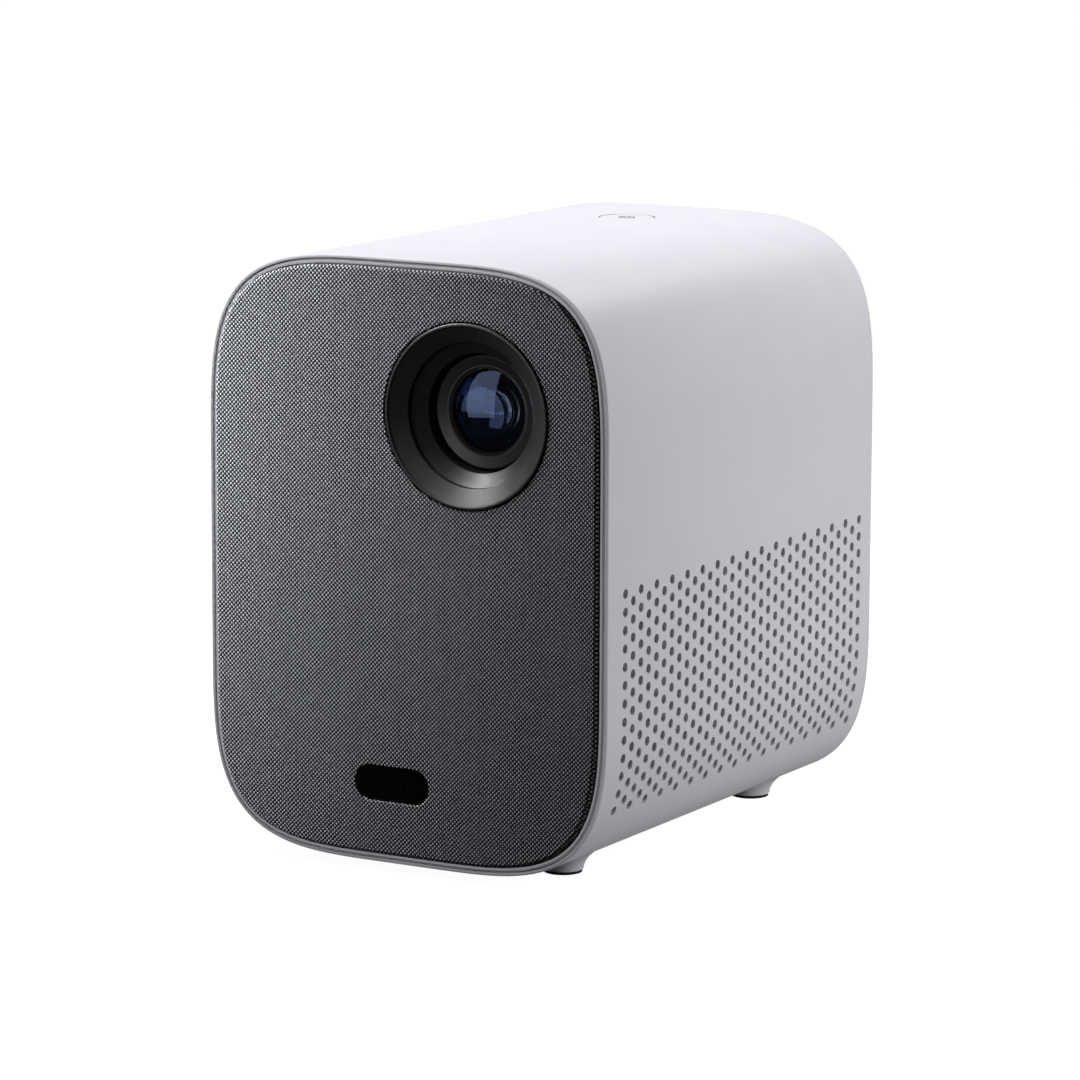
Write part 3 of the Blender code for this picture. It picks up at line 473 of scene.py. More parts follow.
class Finish:
    """A node material round one Principled shader, with the detail that is added to it."""

    def __init__(self, name, colour, roughness, metallic=0.0, **sockets):
        self.material = bpy.data.materials.new(name)
        self.material.use_nodes = True
        self.tree = self.material.node_tree
        self.shader = self.tree.nodes["Principled BSDF"]
        self.colour = (*colour, 1.0)
        self.shader.inputs["Base Color"].default_value = self.colour
        self.shader.inputs["Roughness"].default_value = roughness
        self.shader.inputs["Metallic"].default_value = metallic
        for socket, value in sockets.items():
            self.shader.inputs[socket.replace("_", " ")].default_value = value
        self.place = self.node("ShaderNodeTexCoord").outputs["Object"]
        self.height = None

    def node(self, kind, inputs=(), **settings):
        """A node with settings; each input is a socket to link from or a plain value."""
        made = self.tree.nodes.new(kind)
        for name, value in settings.items():
            setattr(made, name, value)
        for key, value in dict(inputs).items():
            if isinstance(value, bpy.types.NodeSocket):
                self.tree.links.new(value, made.inputs[key])
            else:
                made.inputs[key].default_value = value
        return made

    def maths(self, operation, one, two=0.0, three=0.0):
        inputs = {0: one, 1: two, 2: three}
        return self.node("ShaderNodeMath", inputs, operation=operation).outputs[0]

    def stretch(self, value, low, high, to_low, to_high, smooth=False):
        """value from low..high mapped to to_low..to_high, and held there."""
        inputs = {"Value": value, "From Min": low, "From Max": high, "To Min": to_low, "To Max": to_high}
        kind = "SMOOTHSTEP" if smooth else "LINEAR"
        return self.node("ShaderNodeMapRange", inputs, interpolation_type=kind).outputs["Result"]

    def noise(self, size, detail=2.0, squeeze=(1.0, 1.0, 1.0), roughness=0.5):
        """Noise with features of about size millimetres, drawn out along an axis by a small squeeze."""
        scale = Vector(squeeze) / (size * MM)
        spot = self.node("ShaderNodeMapping", {"Vector": self.place, "Scale": scale}).outputs[0]
        inputs = {"Vector": spot, "Scale": 1.0, "Detail": detail, "Roughness": roughness}
        return self.node("ShaderNodeTexNoise", inputs).outputs["Fac"]

    def tint(self, share, colour):
        """Mixes the base colour towards another by share."""
        inputs = {"Factor": share, "A": self.colour, "B": (*colour, 1.0)}
        mix = self.node("ShaderNodeMix", data_type="RGBA")
        for key, value in inputs.items():
            socket = next(s for s in mix.inputs if s.name == key and s.enabled)
            if isinstance(value, bpy.types.NodeSocket):
                self.tree.links.new(value, socket)
            else:
                socket.default_value = value
        result = next(s for s in mix.outputs if s.enabled)
        self.tree.links.new(result, self.shader.inputs["Base Color"])
        return self

    def roughen(self, share, low, high):
        """Varies the roughness from low to high with share."""
        value = self.stretch(share, 0.3, 0.7, low, high)
        self.tree.links.new(value, self.shader.inputs["Roughness"])
        return self

    def emboss(self, height, depth):
        """Adds relief of depth millimetres."""
        inputs = {"Height": height, "Distance": depth * MM, "Strength": 1.0}
        if self.height is not None:
            inputs["Normal"] = self.height
        self.height = self.node("ShaderNodeBump", inputs).outputs["Normal"]
        self.tree.links.new(self.height, self.shader.inputs["Normal"])
        return self


def moulded_plastic(name, colour, deeper, roughness, grain, depth):
    """Injection-moulded plastic: a fine spark-eroded grain, and faint mottling in colour and gloss."""
    finish = Finish(name, colour, roughness)
    cloud = finish.noise(14.0, detail=3.0)
    finish.tint(finish.stretch(cloud, 0.35, 0.65, 0.0, 1.0), deeper)
    finish.roughen(finish.noise(3.0, detail=4.0), roughness - 0.04, roughness + 0.04)
    finish.emboss(finish.noise(grain, detail=3.0), depth)
    return finish.material


def woven_cloth(name, light, dark, pitch, across="X"):
    """Plain weave: pale upright threads cross dark level ones, over and under by turns."""
    wander = 0.9
    uneven_threads = 0.14
    uneven_slubs = 0.35
    palest = 0.70
    thread_rise = 0.16
    finish = Finish(name, dark, 0.85, Specular_IOR_Level=0.06)
    axes = finish.node("ShaderNodeSeparateXYZ", {"Vector": finish.place}).outputs
    drift = finish.noise(5.5, detail=2.0)
    sway = finish.maths("MULTIPLY_ADD", drift, wander, -wander / 2)
    level = finish.maths("MULTIPLY_ADD", axes[across], 1.0 / (pitch * MM), sway)
    rise = finish.maths("MULTIPLY_ADD", axes["Z"], 1.0 / (pitch * MM), sway)
    wave_across = finish.maths("SINE", finish.maths("MULTIPLY", level, math.pi))
    wave_up = finish.maths("SINE", finish.maths("MULTIPLY", rise, math.pi))
    crossing = finish.maths("MULTIPLY", wave_across, wave_up)
    over = finish.stretch(crossing, -0.1, 0.5, 0.0, 1.0, smooth=True)
    thread = finish.maths("FLOOR", level)
    pick = finish.node("ShaderNodeTexWhiteNoise", {"W": thread}, noise_dimensions="1D").outputs["Value"]
    slub = finish.noise(1.3, detail=2.0)
    pale = finish.maths("MULTIPLY_ADD", pick, uneven_threads, palest)
    pale = finish.maths("MULTIPLY_ADD", slub, uneven_slubs, pale)
    share = finish.maths("MULTIPLY", over, pale)
    finish.tint(share, light)
    relief = finish.maths("POWER", finish.maths("ABSOLUTE", crossing), 0.5)
    finish.emboss(relief, pitch * thread_rise)
    return finish.material


def metal(name, colour, darker, roughness, squeeze=(1.0, 1.0, 1.0), depth=0.004):
    """Bare metal: tooling lines or casting grain, and a little tarnish in the colour."""
    finish = Finish(name, colour, roughness, metallic=1.0)
    finish.tint(finish.stretch(finish.noise(9.0, detail=4.0), 0.35, 0.75, 0.0, 1.0), darker)
    lines = finish.noise(0.5, detail=4.0, squeeze=squeeze)
    finish.roughen(lines, roughness - 0.08, roughness + 0.10)
    finish.emboss(lines, depth)
    return finish.material


def circuit_board():
    """Solder mask over copper tracks, which show as slightly raised paler lines."""
    track_pitch = 1.8
    finish = Finish("circuit_board", (0.012, 0.10, 0.045), 0.35)
    axes = finish.node("ShaderNodeSeparateXYZ", {"Vector": finish.place}).outputs
    tracks = finish.maths("SINE", finish.maths("MULTIPLY", axes["X"], 2 * math.pi / (track_pitch * MM)))
    broken = finish.maths("GREATER_THAN", finish.noise(6.0, detail=0.0), 0.5)
    shown = finish.maths("MULTIPLY", finish.stretch(tracks, 0.3, 0.6, 0.0, 1.0), broken)
    finish.tint(shown, (0.03, 0.22, 0.09))
    finish.emboss(shown, 0.03)
    return finish.material


def cone_paper():
    """Pressed paper pulp, matt and slightly fibrous."""
    finish = Finish("cone_paper", (0.03, 0.03, 0.03), 0.9, Sheen_Weight=0.3)
    fibres = finish.noise(0.7, detail=5.0, roughness=0.7)
    finish.tint(finish.stretch(fibres, 0.4, 0.7, 0.0, 1.0), (0.07, 0.07, 0.068))
    finish.emboss(fibres, 0.06)
    return finish.material


def coated_glass():
    """Lens glass with a blue anti-reflection coating, and the faintest dust."""
    finish = Finish(
        "coated_glass",
        (0.50, 0.60, 0.85),
        0.0,
        IOR=1.85,
        Transmission_Weight=1.0,
        Specular_Tint=(0.50, 0.66, 1.0, 1.0),
    )
    finish.tint(finish.stretch(finish.noise(3.0, detail=5.0), 0.4, 0.7, 0.0, 1.0), (0.48, 0.58, 0.84))
    return finish.material


# Moulded plastic has a colour, a deeper one, a roughness, and its grain's size and depth in millimetres.
MATERIALS = {
    "shell_white": moulded_plastic(
        "moulded_white", (0.82, 0.82, 0.845), (0.80, 0.80, 0.83), 0.42, 0.35, 0.004
    ),
    "fabric_charcoal": woven_cloth("grille_weave", (0.285, 0.292, 0.312), (0.007, 0.007, 0.008), 0.575),
    "black_plastic": moulded_plastic(
        "moulded_black", (0.022, 0.021, 0.019), (0.017, 0.016, 0.015), 0.42, 0.25, 0.012
    ),
    "window_gloss": moulded_plastic(
        "polished_black", (0.004, 0.004, 0.005), (0.003, 0.003, 0.004), 0.08, 6.0, 0.001
    ),
    "grey_plastic": moulded_plastic(
        "moulded_grey", (0.42, 0.42, 0.44), (0.38, 0.38, 0.40), 0.5, 0.35, 0.02
    ),
    "rubber_black": moulded_plastic(
        "matt_rubber", (0.012, 0.012, 0.012), (0.018, 0.018, 0.018), 0.8, 0.3, 0.03
    ),
    "lens_glass": coated_glass(),
    "steel": metal("bright_steel", (0.55, 0.55, 0.56), (0.42, 0.42, 0.43), 0.32, (1.0, 0.1, 1.0)),
    "aluminium": metal("cast_aluminium", (0.72, 0.73, 0.74), (0.60, 0.61, 0.62), 0.42, depth=0.01),
    "copper": metal("satin_copper", (0.72, 0.36, 0.20), (0.55, 0.25, 0.13), 0.35),
    "brass": metal("turned_brass", (0.75, 0.56, 0.26), (0.62, 0.43, 0.18), 0.30, (1.0, 1.0, 6.0)),
    "board_green": circuit_board(),
    "cone_paper": cone_paper(),
}


def dress_cad_nodes():
    """Gives each CAD node that stays in view the material of its slot."""
    for part in frame["record"]["subparts"]:
        node = frame["nodes"][part["node"]]
        node.data.materials.clear()
        node.data.materials.append(MATERIALS[part["material_slot"]])


# ------------------------ the shell


def hole_lines():
    """Depths of the lines between and through the columns of side holes."""
    first = HOLE_FIRST_Y - HOLE_PITCH / 2
    return [first + line * HOLE_PITCH / 2 for line in range(2 * HOLE_COLUMNS + 1)]


def shell_stations():
    """Stations round the outline, with one at each row of side holes."""
    panel = HOLE_FIRST_DROP + HOLE_RISE * np.arange(-1, HOLE_ROWS + 1)
    below = evenly(panel[-1], LEFT - panel[-1])
    above = evenly(LEFT - panel[0], AROUND + panel[0])
    return np.concatenate([panel, below, (LEFT - panel)[::-1], above])


def evenly(start, end):
    """Stations strictly between two, an even number of steps apart so that the middle has one."""
    steps = 2 * round((end - start) / HOLE_RISE / 2)
    return np.linspace(start, end, steps + 1)[1:-1]


class Shell:
    """The sleeve as one grid of points on its section and round its outline, with holes let into it."""

    def __init__(self):
        self.skin = Skin()
        self.lines = hole_lines()
        self.stations = shell_stations()
        rebate = Y_RIM + 3.0
        edge = 0.85
        # The outer surface follows three corners at the front; two more at the back come before the inner.
        outer = [(0.0, y, 0.0) for y in self.lines]
        inner = [(WALL, y, 0.0) for y in reversed(self.lines)]
        corners = [(edge, rebate, 0.1), (edge, Y_RIM, 0.1), (0.0, Y_RIM, 0.74), *outer]
        corners += [(0.0, Y_BACK, 0.8), (WALL, Y_BACK, 0.4), *inner, (WALL, rebate, 0.15)]
        section = [(-inset, y, radius) for inset, y, radius in corners]
        self.rows, starts = housing_grid(self.skin, section, self.stations, steps=6)
        self.outer_row = starts[3]
        self.inner_row = starts[5 + len(outer)]
        self.carved = set()

    def row_of(self, line, inside):
        """The section row of a hole line, on the outer or the inner surface."""
        return self.inner_row + len(self.lines) - 1 - line if inside else self.outer_row + line

    def hole(self, along, y, radius, edge, half_lines, half_stations, sides=16):
        """A round hole through the wall, in place of the grid's faces round it.

        half_lines and half_stations say how far those faces reach each way from the hole's middle.
        """
        count = len(self.stations)
        away = (self.stations - along + AROUND / 2) % AROUND - AROUND / 2
        line = int(np.argmin(np.abs(np.array(self.lines) - y)))
        station = int(np.argmin(np.abs(away)))
        angles = [2 * math.pi * side / sides for side in range(sides)]
        bore = []
        for inside in (False, True):
            border = []
            for step_line in range(-half_lines, half_lines + 1):
                for step in range(-half_stations, half_stations + 1):
                    if abs(step_line) < half_lines and abs(step) < half_stations:
                        continue
                    row = self.row_of(line + step_line, inside)
                    column = (station + step) % count
                    angle = math.atan2(self.lines[line + step_line] - y, away[column]) % (2 * math.pi)
                    border.append((angle, self.rows[row][column]))
            for step_line in range(-half_lines, half_lines):
                for step in range(-half_stations, half_stations):
                    first = self.row_of(line + step_line + (1 if inside else 0), inside)
                    self.carved.add((first, (station + step) % count))
            rings = [self.ring(along, y, radius, edge, lean, inside, angles) for lean in (0.0, 0.5, 1.0)]
            self.skin.bridge(sorted(border), list(zip(angles, rings[0])))
            for one, other in zip(rings, rings[1:]):
                self.skin.between(one, other)
            bore.append(rings[-1])
        self.skin.between(*bore)

    def ring(self, along, y, radius, edge, lean, inside, angles):
        """A ring of a hole's rounded edge: lean 0 lies on the surface and 1 on the bore's wall."""
        swing = lean * math.pi / 2
        reach = radius + edge * (1 - math.sin(swing))
        depth = edge * (1 - math.cos(swing))
        inset = WALL - depth if inside else depth
        way = -1.0 if inside else 1.0
        across = np.cos(angles)
        back = np.sin(angles)
        points, normals = on_housing(along + reach * across, y + reach * back, inset)
        tangents = np.cross(normals, (0.0, 1.0, 0.0))
        towards = -(tangents * across[:, None] + np.array([0.0, 1.0, 0.0]) * back[:, None])
        return self.skin.add(points, normals * way * math.cos(swing) + towards * math.sin(swing))

    def close(self):
        """The grid's faces, but for those that a hole took."""
        count = len(self.stations)
        for row, (one, other) in enumerate(zip(self.rows, self.rows[1:] + self.rows[:1])):
            for column in range(count):
                if (row, column) not in self.carved:
                    following = (column + 1) % count
                    self.skin.faces.append((one[column], one[following], other[following], other[column]))


def make_shell():
    """The white sleeve with its side holes, button hole, tripod socket and moulded posts."""
    shell = Shell()
    for column in range(HOLE_COLUMNS):
        for row in range(column % 2, HOLE_ROWS, 2):
            drop = HOLE_FIRST_DROP + row * HOLE_RISE
            for along in (drop, LEFT - drop):
                y = HOLE_FIRST_Y + column * HOLE_PITCH
                shell.hole(along, y, HOLE_RADIUS, HOLE_EDGE, half_lines=1, half_stations=1)
    button_hole = BUTTON_RADIUS + BUTTON_GAP
    shell.hole(TOP, BUTTON.y, button_hole, 0.15, half_lines=5, half_stations=4, sides=72)
    shell.hole(BOTTOM, 0.0, TRIPOD_RADIUS, 0.1, half_lines=4, half_stations=3, sides=48)
    shell.close()
    outer, bore, length = 4.5, 1.8, 12.0
    post = [(outer, 0.0, 0.3), (outer, -length, 0.3), (bore, -length, 0.1), (bore, 0.0, 0.2)]
    for x, z in screw_places():
        turned_rows(shell.skin, post, (x, COVER_FRONT - 0.3, z), BACKWARD, sides=32)
    shell.skin.build("shell_sleeve", "shell_white", replaces=["main_shell"])


def screw_places():
    """Where the back cover's screws are, as (x, z)."""
    return [(middle(f"rear_screw_{n}").x, middle(f"rear_screw_{n}").z) for n in range(1, 5)]


def make_trim_ring():
    """The ring round the fabric: a narrow lip, a bevel down to the shell's edge, and a flange behind."""
    lip = Y_RIM - 0.1
    seat = Y_RIM + 2.6
    flange_back = LEDGE + 1.9
    corners = [
        (2.15, lip, 0.22),
        (1.55, lip, 0.22),
        (1.15, lip + 0.7, 0.15),
        (1.15, seat, 0.1),
        (3.0, seat, 0.1),
        (3.0, flange_back, 0.1),
        (7.0, flange_back, 0.2),
        (7.0, LEDGE, 0.2),
        (2.15, LEDGE, 0.1),
    ]
    sweep("trim_ring", corners, "shell_white", replaces=["front_trim_ring"])


# ------------------------ the front


def make_fabric():
    """The grille cloth, stretched flat and rolled over its edges and openings."""
    x, z, half_width, half_height = face("window_cover", grow=FABRIC_GAP)
    roll = edge_section(2.0, Y_FABRIC, FABRIC_BACK, 0.85, 0.15)
    turn_in = edge_section(1.2, Y_FABRIC, FABRIC_BACK, 0.35, 0.15)
    edges = [
        (housing_loop(FABRIC_INSET), roll),
        (circle(LENS.x, LENS.z, HOOD_RADIUS + FABRIC_GAP, steps=24), turn_in),
        (rounded_box(x, z, half_width, half_height, half_height), turn_in),
    ]
    cloth = plate("grille_cloth", edges, "fabric_charcoal", steps=6, replaces=["front_fabric"])
    area = sheet_area(edges)


def sheet_area(edges):
    """The flat area inside the first loop, less that of the openings, in square metres."""
    areas = []
    for loop, _ in edges:
        spots = [spot for spot, _ in loop]
        areas.append(abs(sum((a.conjugate() * b).imag for a, b in zip(spots, spots[1:] + spots[:1]))) / 2)
    return (areas[0] - sum(areas[1:])) * MM**2


def make_lens_hood():
    """The stepped cone round the lens, with a flange behind the panel.

    Heights are measured forward from its own front.
    """
    back = span("lens_bezel")[1].y
    depth = Y_FRONT - back
    flange = depth + 1.5
    corners = [
        (22.3, 0.0, 0.12),
        (HOOD_RADIUS, 0.0, 0.4),
        (HOOD_RADIUS, flange, 0.1),
        (26.0, flange, 0.2),
        (26.0, depth, 0.2),
        (19.6, depth, 0.2),
        (16.3, -8.4, 0.5),
        (16.3, -12.2, 0.1),
        (14.86, -12.2, 0.1),
        (14.86, -7.35, 0.15),
        (18.1, -4.5, 0.15),
        (18.1, -3.1, 0.15),
        (21.9, -0.6, 0.25),
    ]
    centre = (LENS.x, Y_FRONT, LENS.z)
    turned("lens_hood", corners, centre, FORWARD, "black_plastic", sides=144, replaces=["lens_bezel"])


def make_window():
    """The gloss window, with the round lens of the autofocus camera let into its right end."""
    low, high = span("window_cover")
    x, z, half_width, half_height = face("window_cover")
    eye_x = middle("autofocus_camera").x
    edges = [
        (
            rounded_box(x, z, half_width, half_height, half_height, hole=False),
            edge_section(1.0, low.y, high.y, 0.3, 0.1),
        ),
        (circle(eye_x, z, EYE_RADIUS), edge_section(0.3, low.y, high.y, 0.04, 0.1)),
    ]
    plate("sensor_window", edges, "window_gloss", replaces=["window_cover"])
    radius = EYE_RADIUS - 0.08
    dome = [(radius * share, -0.3 * share**2, 0) for share in (0.0, 0.2, 0.4, 0.6, 0.8, 0.95)]
    dome += [(radius, -0.4, 0.1), (radius, low.y - high.y, 0.1), (0.0, low.y - high.y, 0)]
    turned("sensor_lens", dome, (eye_x, low.y, z), FORWARD, "window_gloss", closed=False)


# ------------------------ the lens


def cap(radius, apex, rim, count=10):
    """Points of a shallow dome from its apex out to its rim, as smooth corners."""
    shares = [index / count for index in range(count + 1)]
    return [(radius * share, apex + (rim - apex) * share**2, 0) for share in shares]


def make_focus_cell():
    """The sliding barrel with its stepped mouth, and the big front lens in it.

    Heights are measured forward from the front of the lens hood.
    """
    centre = (LENS.x, Y_FRONT, LENS.z)
    barrel = [
        (13.8, -9.9, 0.15),
        (14.2, -10.3, 0.2),
        (14.2, -32.0, 0.2),
        (12.2, -32.0, 0.2),
        (12.2, -17.6, 0.2),
        (9.4, -17.6, 0.1),
        (9.4, -16.6, 0.1),
        (10.4, -16.6, 0.1),
        (10.4, -11.5, 0.15),
        (11.1, -10.8, 0.25),
        (11.5, -10.8, 0.15),
    ]
    turned("focus_sleeve", barrel, centre, FORWARD, "black_plastic", body="focus_cell",
           sides=128, replaces=["focus_barrel"])
    radius = 10.1
    front_rim, back_rim = -12.6, -14.6
    front = cap(radius, -11.0, front_rim)
    back = cap(radius, -16.0, back_rim)[::-1]
    lens = front[:-1] + [(radius, front_rim, 0.08), (radius, back_rim, 0.08)] + back[1:]
    turned("objective_lens", lens, centre, FORWARD, "lens_glass", body="focus_cell",
           closed=False, sides=128, replaces=["front_lens"])


# ------------------------ button, feet and base


def make_button():
    """The push button, flush in the top, with the usual power sign printed on it."""
    top = BUTTON_TOP
    flange_radius, stem_radius = 8.4, 2.0
    flange = Z_TOP - WALL - 0.35 - top
    flange_back = flange - 1.0
    foot = span("power_button")[0].z - top
    cap_section = [
        (0.0, 0.0, 0),
        (BUTTON_RADIUS, 0.0, 0.3),
        (BUTTON_RADIUS, flange, 0.1),
        (flange_radius, flange, 0.1),
        (flange_radius, flange_back, 0.1),
        (stem_radius, flange_back, 0.1),
        (stem_radius, foot, 0.2),
        (0.0, foot, 0),
    ]
    turned("button_cap", cap_section, (BUTTON.x, BUTTON.y, top), UP, "shell_white",
           body="button", closed=False, replaces=["power_button"])
    sign = bpy.data.curves.new("power_sign", "CURVE")
    sign.dimensions = "3D"
    sign.bevel_depth = SIGN_STROKE / 2 * MM
    sign.bevel_resolution = 3
    sign.use_fill_caps = True
    gap = math.radians(35)
    turns = np.linspace(gap, 2 * math.pi - gap, 41)
    ring = [(SIGN_RADIUS * math.sin(turn), SIGN_RADIUS * math.cos(turn)) for turn in turns]
    bar = [(0.0, SIGN_RADIUS * 1.15), (0.0, SIGN_RADIUS * 0.2)]
    for stroke in (ring, bar):
        spline = sign.splines.new("POLY")
        spline.points.add(len(stroke) - 1)
        for point, (x, y) in zip(spline.points, stroke):
            point.co = (x * MM, y * MM, 0.0, 1.0)
    sign.materials.append(MATERIALS["black_plastic"])
    mark = bpy.data.objects.new("power_sign", sign)
    mark.location = Vector((BUTTON.x, BUTTON.y, top)) * MM
    mark.scale = (1.0, 1.0, SIGN_FLATNESS)
    place(mark, "button")


def underside(x):
    """Height of the housing's underside at distances x from the middle."""
    along = np.linspace(BOTTOM - 90.0, BOTTOM + 90.0, 1500)
    points, _ = outline(along)
    return np.interp(x, points[::-1, 0], points[::-1, 1])


def flare(height):
    """A skirt's radius at a height above the floor, and how fast it grows there."""
    rise = height - SKIRT_LOW
    return SKIRT_RADIUS + SKIRT_FLARE * rise**2, 2 * SKIRT_FLARE * rise


def skirt_ring(skin, centre, angles, radius, height, slope):
    """A ring of a foot's skirt; slope is its normal's part outwards and its part upwards."""
    across = np.stack([np.cos(angles), np.sin(angles), np.zeros_like(angles)], -1)
    radii = np.broadcast_to(radius, angles.shape)
    points = np.array([centre.x, centre.y, 0.0]) + across * radii[:, None]
    points[:, 2] = height
    rise = np.broadcast_to(slope[1], angles.shape)
    normals = across * slope[0] + np.array([0.0, 0.0, 1.0]) * rise[:, None]
    return skin.add(points, normals)


def make_skirt(name, centre, sides):
    """A flared skirt that runs up to the underside, round the pocket of its rubber pad."""
    angles = np.linspace(0, 2 * math.pi, sides, endpoint=False)
    heights = np.linspace(SKIRT_LOW, SKIRT_REACH, 400)
    radii, _ = flare(heights)
    tops = []
    for angle in angles:
        clear = underside(centre.x + radii * math.cos(angle)) - SKIRT_GAP - heights
        tops.append(heights[np.argmax(clear <= 0)])
    inwards, down, up = (-1.0, 0.0), (0.0, -1.0), (0.0, 1.0)
    rings = [
        (POCKET_RADIUS, POCKET_TOP, inwards),
        (POCKET_RADIUS, SKIRT_LOW + 0.1, inwards),
        (POCKET_RADIUS + 0.1, SKIRT_LOW, down),
        (SKIRT_RADIUS - 0.2, SKIRT_LOW, down),
    ]
    start = SKIRT_LOW + 0.2
    for share in np.linspace(0.0, 1.0, 13) ** 0.7:
        level = start + share * (np.array(tops) - start)
        radius, slope = flare(level)
        rings.append((radius, level, (1.0, -slope)))
    rings.append((POCKET_RADIUS, CORE_TOP, up))
    skin = Skin()
    rows = [skirt_ring(skin, centre, angles, *ring) for ring in rings]
    for one, other in zip(rows, rows[1:] + rows[:1]):
        skin.between(one, other)
    skin.build(f"skirt_{name}", "shell_white", replaces=[f"foot_{name}"])


def make_feet():
    """Four skirts, each with a rubber pad that stands out below it."""
    sides = 72
    pad = [
        (0.0, 1.6, 0),
        (4.0, 1.6, 0.1),
        (4.0, 0.45, 0.05),
        (4.95, 0.45, 0.08),
        (4.95, 0.0, 0.25),
        (0.0, 0.0, 0),
    ]
    for end in ("front", "rear"):
        for side in ("left", "right"):
            name = f"{end}_{side}"
            centre = middle(f"foot_pad_{name}")
            make_skirt(name, centre, sides)
            turned(f"pad_{name}", pad, (centre.x, centre.y, 0), UP, "rubber_black",
                   closed=False, sides=sides, replaces=[f"foot_pad_{name}"])


def make_thread_insert():
    """The brass insert for a tripod screw, with its thread as ridges in the bore."""
    low, high = span("tripod_insert")
    length = high.z - low.z
    outer = (high.x - low.x) / 2
    root, crest = 3.2, 2.75
    corners = [(outer, length, 0.2), (outer, 0.0, 0.2), (root + 0.4, 0.0, 0.1), (root, 0.4, 0.1)]
    for ridge in range(5):
        start = 0.9 + ridge * THREAD_PITCH
        corners += [(crest, start + THREAD_PITCH * 0.25, 0.08), (root, start + THREAD_PITCH * 0.8, 0.08)]
    corners += [(root, length, 0.1)]
    turned("thread_insert", corners, (0, 0, low.z), UP, "brass", replaces=["tripod_insert"])


# ------------------------ the back


def make_back_cover():
    """The back plate: upright vent slots, cut-outs for the sockets, and counterbored screw holes."""

    def section(reach, back_round):
        return edge_section(reach, COVER_FRONT, COVER_BACK, 0.1, back_round)

    edges = [(housing_loop(COVER_INSET), section(0.22, 0.2))]
    for index in range(VENT_COUNT):
        x = (index - (VENT_COUNT - 1) / 2) * VENT_PITCH
        loop = rounded_box(x, VENT_Z, VENT_WIDTH / 2, VENT_HEIGHT / 2, VENT_WIDTH / 2)
        edges.append((loop, section(0.6, 0.35)))
    for node, roundness in SOCKETS.items():
        x, z, half_width, half_height = face(node, grow=SOCKET_GAP)
        loop = rounded_box(x, z, half_width, half_height, roundness * min(half_width, half_height))
        edges.append((loop, section(0.5, 0.3)))
    step = COVER_BACK - COUNTERBORE_DEPTH
    for x, z in screw_places():
        counterbore = [
            (1.1, COVER_FRONT, 0),
            (1.4, COVER_FRONT, 0.1),
            (1.4, step, 0.1),
            (0.0, step, 0.1),
            (0.0, COVER_BACK, 0.1),
            (-0.12, COVER_BACK, 0),
        ]
        edges.append((circle(x, z, COUNTERBORE_RADIUS), counterbore))
    plate("back_cover", edges, "grey_plastic", replaces=["rear_cover"])


def make_cover_screws():
    """Pan-head screws with a cross recess."""
    half_slot, slot_reach = 0.28, 1.25
    arm = [
        (complex(half_slot, -half_slot), 1 - 1j),
        (complex(slot_reach, -half_slot), 0.35 - 1j),
        (complex(slot_reach, half_slot), 0.35 + 1j),
    ]
    for number, (x, z) in enumerate(screw_places(), 1):
        low, high = span(f"rear_screw_{number}")
        seat = high.y - 0.8
        skin = Skin()
        cross = []
        for quarter in range(4):
            way = 1j**quarter
            for point, facing in arm:
                cross.append((complex(x, z) + point * way, -unit(facing) * way))
        head = [(-0.3, seat, 0), (0.0, seat, 0.1), (0.0, high.y, 0.5), (-1.2, high.y, 0)]
        recess = [(0.0, seat, 0), (0.0, high.y, 0)]
        plate_on(skin, [(circle(x, z, SCREW_RADIUS, hole=False), head), (cross, recess)])
        tip = low.y - seat
        shank = [(0.0, 0.0, 0), (1.5, 0.0, 0.1), (1.5, tip, 0.2), (0.0, tip, 0)]
        turned_rows(skin, shank, (x, seat + 0.05, z), BACKWARD, closed=False, sides=32)
        node = f"rear_screw_{number}"
        skin.build(f"cover_screw_{number}", "steel", replaces=[node])


def make_side_mesh():
    """Pale cloth glued inside the shell behind each panel of holes."""
    mesh_cloth = woven_cloth("side_mesh", (0.88, 0.88, 0.90), (0.70, 0.70, 0.72), 0.5, across="Y")
    start = HOLE_FIRST_DROP - 2 * HOLE_RISE
    end = HOLE_FIRST_DROP + (HOLE_ROWS + 1) * HOLE_RISE
    front = HOLE_FIRST_Y - HOLE_PITCH
    back = HOLE_FIRST_Y + HOLE_COLUMNS * HOLE_PITCH
    for side, flip in (("right", False), ("left", True)):
        along = np.linspace(start, end, 33)
        if flip:
            along = LEFT - along
        skin = Skin()
        near, far = -(WALL + 0.1), -(WALL + 0.3)
        corners = [(near, front, 0.03), (near, back, 0.03), (far, back, 0.03), (far, front, 0.03)]
        rows, _ = housing_grid(skin, corners, along, steps=2)
        for one, other in zip(rows, rows[1:] + rows[:1]):
            for column in range(len(along) - 1):
                skin.faces.append((one[column], one[column + 1], other[column + 1], other[column]))
        for column in (0, -1):
            skin.faces.append(tuple(row[column] for row in rows))
        cloth = skin.build(f"side_mesh_{side}", "fabric_charcoal", material=mesh_cloth)


# ------------------------ the stage

CAMERA_TARGET = Vector((-4.900, 4.334, 72.847))
CAMERA_DISTANCE = 1309.31
CAMERA_YAW = 30.114
CAMERA_PITCH = 9.880
CAMERA_ROLL = 0.192
CAMERA_LENS = 167.81

# The surround is darkest away from this direction, and brightest along it.
SURROUND_SIDE = (-0.6, 0.8, 0.1)
SURROUND_LOW = 0.025
SURROUND_HIGH = 0.45


